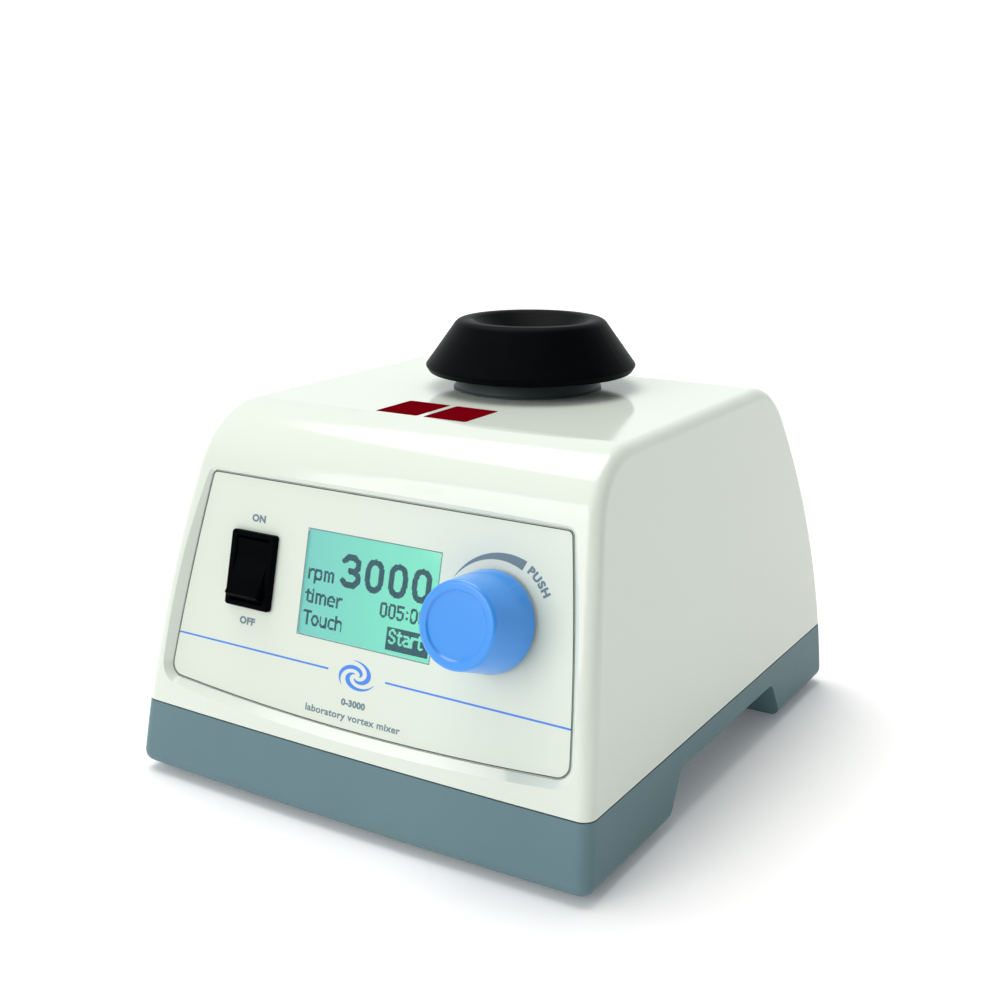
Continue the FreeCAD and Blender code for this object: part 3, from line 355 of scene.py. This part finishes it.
# Boot and carrier: a grey rubber boot stands on the housing round the nylon carrier, out of which
# the cup's spigot rises. Both lie in the cup's shade, so their pale bloom is what the eye finds.

grey_rubber, tree, shader, place = substance("grey rubber with bloom", Roughness=0.5, IOR=1.5)
bloom = add(tree, "TexNoise", {"Vector": place, "Scale": per_mm(5), "Detail": 4.0})
tint = add(tree, "Mix", {0: bloom.outputs["Fac"], 6: colour("3a4649"), 7: colour("455154")},
           data_type="RGBA")
tree.links.new(tint.outputs[2], shader.inputs["Base Color"])
dress(grey_rubber, "collar")

carrier_nylon, tree, shader, place = substance("dark grey nylon", Roughness=0.45, IOR=1.53)
flow = add(tree, "TexNoise", {"Vector": place, "Scale": per_mm(4), "Detail": 4.0})
tint = add(tree, "Mix", {0: flow.outputs["Fac"], 6: colour("262d2f"), 7: colour("30383a")},
           data_type="RGBA")
tree.links.new(tint.outputs[2], shader.inputs["Base Color"])
dress(carrier_nylon, "cup_carrier")


# Cup: a moulded black rubber mushroom that a tube is pressed into, clipped onto its carrier.
# Its skin is matt, so it stays black, and the lips round its dish only fade softly to grey.

cup_rubber, tree, shader, place = substance("matt black silicone rubber", IOR=1.43,
                                            Specular_IOR_Level=0.03)
bloom = add(tree, "TexNoise", {"Vector": place, "Scale": per_mm(9), "Detail": 5.0})
tint = add(tree, "Mix", {0: bloom.outputs["Fac"], 6: colour("030506"), 7: colour("070a0c")},
           data_type="RGBA")
tree.links.new(tint.outputs[2], shader.inputs["Base Color"])
sheen = add(tree, "MapRange", {"Value": bloom.outputs["Fac"], "To Min": 0.34, "To Max": 0.46})
tree.links.new(sheen.outputs["Result"], shader.inputs["Roughness"])
stipple = add(tree, "TexNoise", {"Vector": place, "Scale": per_mm(0.5), "Detail": 3.0})
bump = add(tree, "Bump", {"Strength": 0.08, "Distance": 0.00008, "Height": stipple.outputs["Fac"]})
tree.links.new(bump.outputs["Normal"], shader.inputs["Normal"])
dress(cup_rubber, "rubber_cup")


# Sensor windows: two dark red acrylic filters that pass infrared, flush with the housing's top.
# The dye makes them almost opaque, and a satin face keeps reflections off, so they read as deep red.

red_filter, tree, shader, place = substance("dark red infrared filter", IOR=1.49, Roughness=0.25,
                                            Specular_IOR_Level=0.0)
depth = add(tree, "TexNoise", {"Vector": place, "Scale": per_mm(14), "Detail": 2.0})
tint = add(tree, "Mix", {0: depth.outputs["Fac"], 6: colour("5e0009"), 7: colour("7a0311")},
           data_type="RGBA")
tree.links.new(tint.outputs[2], shader.inputs["Base Color"])
dress(red_filter, "sensor_window_left", "sensor_window_right")

for name, glass, node in (("clear lamp epoxy", "dfe6ee", "infrared_emitter"),
                          ("smoked lamp epoxy", "1c1a20", "infrared_receiver")):
    lamp_epoxy, tree, shader, place = substance(name, Base_Color=colour(glass), IOR=1.55,
                                                Transmission_Weight=0.8)
    haze = add(tree, "TexNoise", {"Vector": place, "Scale": per_mm(1), "Detail": 2.0})
    sheen = add(tree, "MapRange", {"Value": haze.outputs["Fac"], "To Min": 0.03, "To Max": 0.12})
    tree.links.new(sheen.outputs["Result"], shader.inputs["Roughness"])
    dress(lamp_epoxy, node)


# Front panel: a printed polyester film on a thin plate, lying in a shallow recess of the housing.
# The film is satin, cooler than the housing, with a fine etched grain that blurs reflections.

panel_film, tree, shader, place = substance("satin polyester film", Base_Color=colour("dbe5d8"), IOR=1.57)
etch = add(tree, "TexNoise", {"Vector": place, "Scale": per_mm(0.6), "Detail": 4.0})
sheen = add(tree, "MapRange", {"Value": etch.outputs["Fac"], "To Min": 0.26, "To Max": 0.4})
tree.links.new(sheen.outputs["Result"], shader.inputs["Roughness"])
bump = add(tree, "Bump", {"Strength": 0.05, "Distance": 0.00005, "Height": etch.outputs["Fac"]})
tree.links.new(bump.outputs["Normal"], shader.inputs["Normal"])
dress(panel_film, "front_panel")

knob_joint = next(j for j in frame["joints"] if j["name"] == "knob_turn")
panel_out = Vector(knob_joint["axis"])
panel_up = Vector((0, panel_out.z, -panel_out.y))
knob_at = (47.0, 52.1)
ink_under, ink_over = -0.02, 0.03
mm = 0.001
panel_start = Vector(knob_joint["pos_m"]) - Vector((knob_at[0], 0, 0)) * mm - panel_up * knob_at[1] * mm


def on_panel(across, up, out=0.0):
    """A place on the leaning panel, from millimetres across, up its slope and out of its face."""
    return panel_start + Vector((across * mm, 0, 0)) + panel_up * up * mm + panel_out * out * mm


def lay_on_panel(name, outlines, material, low=ink_under, high=ink_over):
    """One printed or thin piece on the panel: closed outlines given thickness between two heights."""
    mesh = bpy.data.meshes.new(name)
    form = bmesh.new()
    for outline in outlines:
        under = [form.verts.new(on_panel(x, up, low)) for x, up in outline]
        over = [form.verts.new(on_panel(x, up, high)) for x, up in outline]
        form.faces.new(over)
        form.faces.new(under[::-1])
        for i in range(len(outline)):
            k = (i + 1) % len(outline)
            form.faces.new((under[i], under[k], over[k], over[i]))
    bmesh.ops.recalc_face_normals(form, faces=form.faces)
    form.to_mesh(mesh)
    form.free()
    piece = bpy.data.objects.new(name, mesh)
    scene.collection.objects.link(piece)
    mesh.materials.append(material)
    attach(piece, "housing")


# The film's cut edge: a dark line all round the panel, painted shade of the thin gap between the panel and
# the housing's recess.
# It is matt, flecked at random, and sets the panel off from the glossy housing.

def film_outline(inset, arc_steps=8, run_steps=12):
    """The film's outline, this far inside its cut edge: bowed runs joined by rounded corners."""
    top_x, top_up = 70.7 - inset, 83.5 - inset
    foot_x, foot_up = 80.0 - inset, 10.6 + inset
    side_bow, foot_dip = 0.8, 3.5
    top_radius, foot_radius = 2.0 - inset, 4.5 - inset
    corners = [Vector(c) for c in ((-top_x, top_up), (top_x, top_up), (foot_x, foot_up), (-foot_x, foot_up))]
    bows = [Vector(b) for b in ((0, 0), (side_bow, 0), (0, -foot_dip), (-side_bow, 0))]
    radii = (top_radius, top_radius, foot_radius, foot_radius)
    near = 0.03

    def on_run(i, t):
        """A place on the run that starts at this corner."""
        return corners[i].lerp(corners[(i + 1) % 4], t) + bows[i] * (4 * t * (1 - t))

    places = []
    for i, corner in enumerate(corners):
        before = (on_run(i - 1, 1 - near) - corner).normalized()
        after = (on_run(i, near) - corner).normalized()
        half_angle = before.angle(after) / 2
        centre = corner + (before + after).normalized() * (radii[i] / math.sin(half_angle))
        reach = radii[i] / math.tan(half_angle)
        start, end = corner + before * reach - centre, corner + after * reach - centre
        for k in range(arc_steps + 1):
            places.append(centre + start.lerp(end, k / arc_steps).normalized() * radii[i])
        length = (corners[(i + 1) % 4] - corner).length
        ends = reach / length, 1 - radii[(i + 1) % 4] / length
        for k in range(1, run_steps):
            places.append(on_run(i, ends[0] + (ends[1] - ends[0]) * k / run_steps))
    return [(place.x, place.y) for place in places]


# The dark line's grey-green is painted shade of the gap round the panel, flecked at random.
gap_shade, tree, shader, place = substance("painted gap shade", IOR=1.5, Roughness=0.6)
gap_shade_flecks = add(tree, "TexNoise", {"Vector": place, "Scale": per_mm(0.6), "Detail": 2.0})
tint = add(tree, "Mix", {0: gap_shade_flecks.outputs["Fac"], 6: colour("3c494d"), 7: colour("4b585c")},
           data_type="RGBA")
tree.links.new(tint.outputs[2], shader.inputs["Base Color"])
line_width = 0.32
cut_edge, inner_edge = film_outline(0.0), film_outline(line_width)
half = len(cut_edge) // 2
lay_on_panel("painted_gap_shade", [cut_edge[:half + 1] + inner_edge[half::-1],
                           cut_edge[half:] + cut_edge[:1] + inner_edge[:1] + inner_edge[:half - 1:-1]],
             gap_shade)


# Printing on the film: grey lettering and an arc that widens round the knob, and blue lines with a
# plain swirl between them. Screen ink stands a hair proud and is a little matt.

# The same grey ink also draws the painted shadow round the display window, further down.
grey_ink_and_edge_shadow, tree, shader, place = substance("grey screen ink and painted edge shadow", IOR=1.5, Roughness=0.5)
specks = add(tree, "TexNoise", {"Vector": place, "Scale": per_mm(0.5), "Detail": 2.0})
tint = add(tree, "Mix", {0: specks.outputs["Fac"], 6: colour("647d8a"), 7: colour("6d8692")},
           data_type="RGBA")
tree.links.new(tint.outputs[2], shader.inputs["Base Color"])

blue_ink, tree, shader, place = substance("blue screen ink", IOR=1.5, Roughness=0.5)
specks = add(tree, "TexNoise", {"Vector": place, "Scale": per_mm(0.5), "Detail": 2.0})
tint = add(tree, "Mix", {0: specks.outputs["Fac"], 6: colour("3a80e4"), 7: colour("4289ec")},
           data_type="RGBA")
tree.links.new(tint.outputs[2], shader.inputs["Base Color"])


def round_knob(radius, clockwise):
    """A place on the panel round the knob, from a radius and degrees clockwise of straight up."""
    turn = math.radians(clockwise)
    return knob_at[0] + radius * math.sin(turn), knob_at[1] + radius * math.cos(turn)


arc_from, arc_to, arc_steps = -55.0, 26.0, 48
arc_radius, thin_end, widening = 18.9, 0.05, 3.2
arc_shares = [i / arc_steps for i in range(arc_steps + 1)]
arc_inner = [round_knob(arc_radius, arc_from + (arc_to - arc_from) * t) for t in arc_shares]
arc_outer = [round_knob(arc_radius + thin_end + widening * t, arc_from + (arc_to - arc_from) * t)
             for t in arc_shares]
lay_on_panel("speed_arc", [arc_inner + arc_outer[::-1]], grey_ink_and_edge_shadow)

line_up, line_half = 25.5, 0.31
swirl_gap = (-12.1, 10.8)
panel_half = 78.4
line_low, line_high = line_up - line_half, line_up + line_half
lines = [[(x0, line_low), (x1, line_low), (x1, line_high), (x0, line_high)]
         for x0, x1 in ((-panel_half, swirl_gap[0]), (swirl_gap[1], panel_half))]
lay_on_panel("blue_lines", lines, blue_ink)


def swirl_arm(start, turns, reach, fat, steps=40):
    """One arm of a swirl: a spiral band that is widest in its middle."""
    middle = (swirl_gap[0] + swirl_gap[1]) / 2, line_up - 0.4
    eye, widening, tip, thinnest = 0.9, 1.45, 0.08, 0.05
    inner, outer = [], []
    for i in range(steps + 1):
        t = i / steps
        turn = start + turns * 2 * math.pi * t
        radius = eye + reach * t
        half = fat * math.sin(math.pi * min(1.0, tip + (1 - tip) * t)) + thinnest
        for row, r in ((inner, radius - half), (outer, radius + half)):
            row.append((middle[0] + widening * r * math.cos(turn), middle[1] + r * math.sin(turn)))
    return outer + inner[::-1]


arms = 3
lay_on_panel("swirl_mark", [swirl_arm(k * math.pi * 2 / arms, 0.62, 4.3, 0.62) for k in range(arms)],
             blue_ink)


def print_word(name, word, across, up, height, bold, wide, turn=0.0, spacing=1.0):
    """A word in grey ink, centred on a place, with capitals of this height in millimetres."""
    capital_share = 0.72
    curve = bpy.data.curves.new(name, "FONT")
    curve.body = word
    curve.align_x, curve.align_y = "CENTER", "CENTER"
    curve.size = height / capital_share
    curve.space_character = spacing
    curve.offset = bold
    curve.extrude = (ink_over - ink_under) / 2
    curve.resolution_u = 4
    holder = bpy.data.objects.new(name, curve)
    scene.collection.objects.link(holder)
    bpy.context.view_layer.update()
    mesh = bpy.data.meshes.new_from_object(holder.evaluated_get(bpy.context.evaluated_depsgraph_get()))
    bpy.data.objects.remove(holder)
    cosine, sine = math.cos(math.radians(turn)), math.sin(math.radians(turn))
    for vertex in mesh.vertices:
        x, y, z = vertex.co.x * wide, vertex.co.y, vertex.co.z
        vertex.co = on_panel(across + x * cosine + y * sine, up - x * sine + y * cosine,
                             (ink_under + ink_over) / 2 + z)
    mesh.materials.clear()
    mesh.materials.append(grey_ink_and_edge_shadow)
    piece = bpy.data.objects.new(name, mesh)
    scene.collection.objects.link(piece)
    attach(piece, "housing")


print_word("on_word", "ON", -48.4, 69.7, 2.35, bold=0.17, wide=1.12, spacing=1.06)
print_word("off_word", "OFF", -48.5, 34.5, 2.35, bold=0.17, wide=1.12, spacing=1.06)
push_from, push_step, push_radius = 33.5, 7.4, 20.7
for i, letter in enumerate("PUSH"):
    angle = push_from + push_step * i
    x, up = round_knob(push_radius, angle)
    print_word("push_letter_" + str(i + 1), letter, x, up, 2.5, bold=0.19, wide=1.12, turn=angle)
print_word("range_words", "0-3000", -0.6, 15.9, 2.1, bold=0.15, wide=1.1, spacing=1.06)
print_word("kind_words", "laboratory vortex mixer", -0.6, 11.3, 2.3, bold=0.09, wide=1.14,
           spacing=1.06)


# Display window: a clear acrylic pane let flush into the film, over the liquid crystal cell.
# Cast acrylic is almost perfectly clear, with a hard gloss and faint wiping marks.

clear_acrylic, tree, shader, place = substance("clear acrylic pane", Base_Color=colour("f4fbfa"),
                                               IOR=1.49, Transmission_Weight=1.0)
wipes = add(tree, "TexNoise", {"Vector": place, "Scale": per_mm(12), "Detail": 5.0, "Distortion": 1.5})
sheen = add(tree, "MapRange", {"Value": wipes.outputs["Fac"], "To Min": 0.02, "To Max": 0.07})
tree.links.new(sheen.outputs["Result"], shader.inputs["Roughness"])
dress(clear_acrylic, "display_window")


# Liquid crystal cell: two glass sheets with a green-blue film, lit from behind.
# The lamp is at one side, so the glow turns from blue-green to green across the pane.

window_across, window_up = (-26.6, 26.2), (34.7, 69.7)
# A thin dark frame round the display window, laid in the grey ink: painted shadow of the opening's edge on
# the cell.
border = 0.32
(left, right), (foot, top) = window_across, window_up
strips = []
for x0, x1, up0, up1 in ((left - border, left, foot - border, top + border),
                         (right, right + border, foot - border, top + border),
                         (left, right, foot - border, foot), (left, right, top, top + border)):
    strips.append([(x0, up0), (x1, up0), (x1, up1), (x0, up1)])
lay_on_panel("painted_window_edge_shadow", strips, grey_ink_and_edge_shadow)

lit_crystal, tree, shader, place = substance("lit liquid crystal", Roughness=0.3, IOR=1.5,
                                             Emission_Strength=0.5)
across = add(tree, "SeparateXYZ", {"Vector": place})
glow = add(tree, "MapRange", {"Value": across.outputs["X"], "From Min": window_across[0] * mm,
                              "From Max": window_across[1] * mm})
tint = add(tree, "Mix", {0: glow.outputs["Result"], 6: colour("84d2ca"), 7: colour("8aeaca")},
           data_type="RGBA")
tree.links.new(tint.outputs[2], shader.inputs["Base Color"])
tree.links.new(tint.outputs[2], shader.inputs["Emission Color"])
dress(lit_crystal, "lcd_glass")

diffuser_sheet, tree, shader, place = substance("opal diffuser acrylic", Base_Color=colour("f0f4ee"),
                                                IOR=1.49)
prisms = add(tree, "TexWave", {"Vector": place, "Scale": per_mm(0.8)}, bands_direction="X")
sheen = add(tree, "MapRange", {"Value": prisms.outputs["Fac"], "To Min": 0.4, "To Max": 0.6})
tree.links.new(sheen.outputs["Result"], shader.inputs["Roughness"])
dress(diffuser_sheet, "lcd_backlight")


# What the display shows: dark crystal dots 0.41 mm apart, in rows, as the real cell forms them.
# Each word is drawn with strokes, and every dot within half a stroke's width of one is dark.

dark_crystal, tree, shader, place = substance("dark liquid crystal", Roughness=0.35, IOR=1.5)
cloud = add(tree, "TexNoise", {"Vector": place, "Scale": per_mm(2), "Detail": 1.0})
tint = add(tree, "Mix", {0: cloud.outputs["Fac"], 6: colour("39677a"), 7: colour("43708a")},
           data_type="RGBA")
tree.links.new(tint.outputs[2], shader.inputs["Base Color"])

dot = 0.41
columns = int(round((window_across[1] - window_across[0]) / dot))
rows = int(round((window_up[1] - window_up[0]) / dot))


def ring(left, foot, right, top, squareness=0.7):
    """An upright rounded loop, as in a narrow 0."""
    points = []
    for i in range(25):
        turn = 2 * math.pi * i / 24
        across, rise = math.cos(turn), math.sin(turn)
        across = math.copysign(abs(across) ** squareness, across)
        rise = math.copysign(abs(rise) ** squareness, rise)
        points.append(((left + right + (right - left) * across) / 2, (foot + top + (top - foot) * rise) / 2))
    return points


# Each letter: how many dots it takes across, and its strokes on a grid of dots.
letters = {
    "r": (5.6, [[(1, 0), (1, 7.4)], [(1, 5), (2.8, 7.4), (4.6, 7.4)]]),
    "p": (7.6, [[(1, -3), (1, 7.4)], ring(1, 0.6, 6, 7.4)]),
    "m": (9.6, [[(1, 0), (1, 7.4)], [(1, 6.4), (2.4, 7.4), (3.6, 7.4), (4.6, 6.2), (4.6, 0)],
                [(4.6, 6.4), (6, 7.4), (7.2, 7.4), (8.2, 6.2), (8.2, 0)]]),
    "t": (5.2, [[(2, 10), (2, 1.6), (3, 0.6), (4.4, 0.6)], [(0.4, 7.2), (4.2, 7.2)]]),
    "i": (3.0, [[(1, 0), (1, 7.2)], [(1, 9.6), (1, 10.2)]]),
    "e": (7.2, [[(1, 4), (6, 4), (6, 6), (4.6, 7.4), (2.6, 7.4), (1, 5.8), (1, 2), (2.4, 0.6),
                 (5.6, 0.6)]]),
    "T": (7.6, [[(0.4, 10.2), (6.8, 10.2)], [(3.6, 0), (3.6, 10.2)]]),
    "o": (7.6, [ring(1, 0.6, 6, 7.4)]),
    "u": (7.6, [[(1, 7.4), (1, 2), (2.4, 0.6), (4.4, 0.6), (6, 2.2)], [(6, 7.4), (6, 0)]]),
    "c": (6.8, [[(5.6, 7.4), (2.6, 7.4), (1, 5.8), (1, 2.2), (2.6, 0.6), (5.6, 0.6)]]),
    "h": (7.6, [[(1, 0), (1, 10.6)], [(1, 6), (2.6, 7.4), (4.6, 7.4), (6, 6), (6, 0)]]),
    "S": (7.6, [[(6, 8.6), (4.8, 10.2), (2.4, 10.2), (1, 8.6), (1, 7), (6, 3.6), (6, 2), (4.6, 0.6),
                 (2.4, 0.6), (1, 2)]]),
    "a": (7.4, [[(1.4, 7.4), (4.6, 7.4), (6, 6), (6, 0)],
                [(6, 4.4), (2.4, 4.4), (1, 3.2), (1, 1.6), (2.4, 0.6), (6, 0.8)]]),
    "0": (8.4, [ring(1, 0.6, 6.6, 10.8)]),
    "5": (8.4, [[(6.4, 10.8), (1.2, 10.8), (1, 6.4), (4.6, 6.6), (6.6, 5), (6.6, 2.4), (4.8, 0.6),
                 (2.2, 0.6), (0.8, 2)]]),
    ":": (4.6, [[(1.6, 2.2), (1.6, 2.8)], [(1.6, 7), (1.6, 7.6)]]),
}
thin_stroke, thick_stroke = 1.9, 4.9
dark = set()


def draw_stroke(points, left, foot, width, cells):
    """Adds the dots within half a width of a run of straight strokes."""
    for (ax, ay), (bx, by) in zip(points, points[1:]):
        a, b = Vector((left + ax, foot + ay)), Vector((left + bx, foot + by))
        along = b - a
        low = [int(min(a[i], b[i]) - width - 1) for i in (0, 1)]
        high = [int(max(a[i], b[i]) + width + 2) for i in (0, 1)]
        for column in range(low[0], high[0]):
            for row in range(low[1], high[1]):
                centre = Vector((column + 0.5, row + 0.5))
                t = max(0.0, min(1.0, (centre - a).dot(along) / max(along.length_squared, 1e-6)))
                if (centre - a - along * t).length <= width / 2:
                    cells.add((column, row))


def draw_word(word, start, end, up, cells):
    """Draws a word from one place across the panel to another, with its foot at this height."""
    foot = round((up - window_up[0]) / dot)
    stretch = (end - start) / dot / (sum(letters[letter][0] for letter in word) - 1.2)
    left = (start - window_across[0]) / dot
    for letter in word:
        advance, strokes = letters[letter]
        for points in strokes:
            draw_stroke([(x * stretch, y + 0.5) for x, y in points], left, foot, thin_stroke, cells)
        left += advance * stretch


draw_word("rpm", -25.6, -14.9, 53.2, dark)
draw_word("timer", -25.5, -10.7, 45.4, dark)
draw_word("Touch", -25.4, -9.4, 37.9, dark)
draw_word("005:00", 4.9, 22.8, 45.7, dark)
big_zero = ring(2.5, 3, 15.5, 24.5)
big_three = [(1.0, 21.5), (4.5, 24.5), (11.5, 24.5), (15, 21.5), (15, 17), (11.5, 14), (7.5, 14),
             (11.5, 14), (15.5, 11), (15.5, 6), (12, 3), (4.5, 3), (1.0, 5.5)]
big_start, big_step, big_up = -11.6, 9.25, 52.6
big_foot = (big_up - window_up[0]) / dot
for k, shape in enumerate((big_three, big_zero, big_zero, big_zero)):
    draw_stroke(shape, (big_start + big_step * k - window_across[0]) / dot, big_foot, thick_stroke, dark)
boxed = set()
draw_word("Start", 9.3, 22.3, 38.0, boxed)
box_start, box_foot, box_top, box_margin = 9.0, 36.2, 43.4, 3
box_cells = {(column, row)
             for column in range(int((box_start - window_across[0]) / dot), columns - box_margin)
             for row in range(int((box_foot - window_up[0]) / dot), int((box_top - window_up[0]) / dot))}
dark |= box_cells - boxed
dots = []
gap = 0.012
for column, row in sorted(dark):
    if 0 <= column < columns and 0 <= row < rows:
        x, up = window_across[0] + column * dot, window_up[0] + row * dot
        dots.append([(x + gap, up + gap), (x + dot - gap, up + gap), (x + dot - gap, up + dot - gap),
                     (x + gap, up + dot - gap)])
cell_depth, dot_thick = 1.11, 0.06
lay_on_panel("display_dots", dots, dark_crystal, low=-cell_depth, high=dot_thick - cell_depth)


# Control knob: a blue moulding with a soft-touch coat, pressed onto the encoder by a brass sleeve.
# The coat has a low, even sheen with a fine orange-peel.

blue_soft_touch, tree, shader, place = substance("blue soft-touch coat", Base_Color=colour("3294f0"),
                                                 IOR=1.5, Coat_Weight=0.5, Coat_Roughness=0.12)
peel = add(tree, "TexNoise", {"Vector": place, "Scale": per_mm(0.8), "Detail": 3.0})
sheen = add(tree, "MapRange", {"Value": peel.outputs["Fac"], "To Min": 0.3, "To Max": 0.42})
tree.links.new(sheen.outputs["Result"], shader.inputs["Roughness"])
bump = add(tree, "Bump", {"Strength": 0.05, "Distance": 0.00008, "Height": peel.outputs["Fac"]})
tree.links.new(bump.outputs["Normal"], shader.inputs["Normal"])
dress(blue_soft_touch, "control_knob")


# Rating plate: a blank satin aluminium foil label, stuck to the back wall above the inlet.
# Rolled foil is brushed along its length and follows the wall's slight curve.

foil, tree, shader, place = substance("brushed aluminium foil", Base_Color=colour("c3c6c8"), Metallic=1.0)
drawn = add(tree, "Mapping", {"Vector": place, "Scale": (40, 1000, 1000)})
lines = add(tree, "TexNoise", {"Vector": drawn.outputs["Vector"], "Scale": 1.5, "Detail": 4.0})
sheen = add(tree, "MapRange", {"Value": lines.outputs["Fac"], "To Min": 0.3, "To Max": 0.5})
tree.links.new(sheen.outputs["Result"], shader.inputs["Roughness"])
bump = add(tree, "Bump", {"Strength": 0.1, "Distance": 0.00003, "Height": lines.outputs["Fac"]})
tree.links.new(bump.outputs["Normal"], shader.inputs["Normal"])

plate_across, plate_z = (-0.054, -0.010), (0.078, 0.102)
plate_thick, plate_steps = 0.0002, 12
wall = frame["nodes"]["upper_housing"]
form = bmesh.new()
sheets = ([], [])
for i in range(plate_steps + 1):
    z = plate_z[0] + (plate_z[1] - plate_z[0]) * i / plate_steps
    for x in plate_across:
        spot, out = wall.ray_cast(Vector((x, 0.2, z)), Vector((0, -1, 0)))[1:3]
        sheets[0].append(form.verts.new(spot + out * 0.00001))
        sheets[1].append(form.verts.new(spot + out * plate_thick))
for i in range(plate_steps):
    a, b, c, d = 2 * i, 2 * i + 1, 2 * i + 3, 2 * i + 2
    form.faces.new([sheets[1][k] for k in (a, b, c, d)])
    form.faces.new([sheets[0][k] for k in (d, c, b, a)])
    for k, m in ((a, d), (b, c)):
        form.faces.new((sheets[0][k], sheets[0][m], sheets[1][m], sheets[1][k]))
for a, b in ((0, 1), (2 * plate_steps, 2 * plate_steps + 1)):
    form.faces.new((sheets[0][a], sheets[0][b], sheets[1][b], sheets[1][a]))
bmesh.ops.recalc_face_normals(form, faces=form.faces)
plate_mesh = bpy.data.meshes.new("rating_plate")
form.to_mesh(plate_mesh)
form.free()
plate_mesh.materials.append(foil)
rating_plate = bpy.data.objects.new("rating_plate", plate_mesh)
scene.collection.objects.link(rating_plate)
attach(rating_plate, "housing")
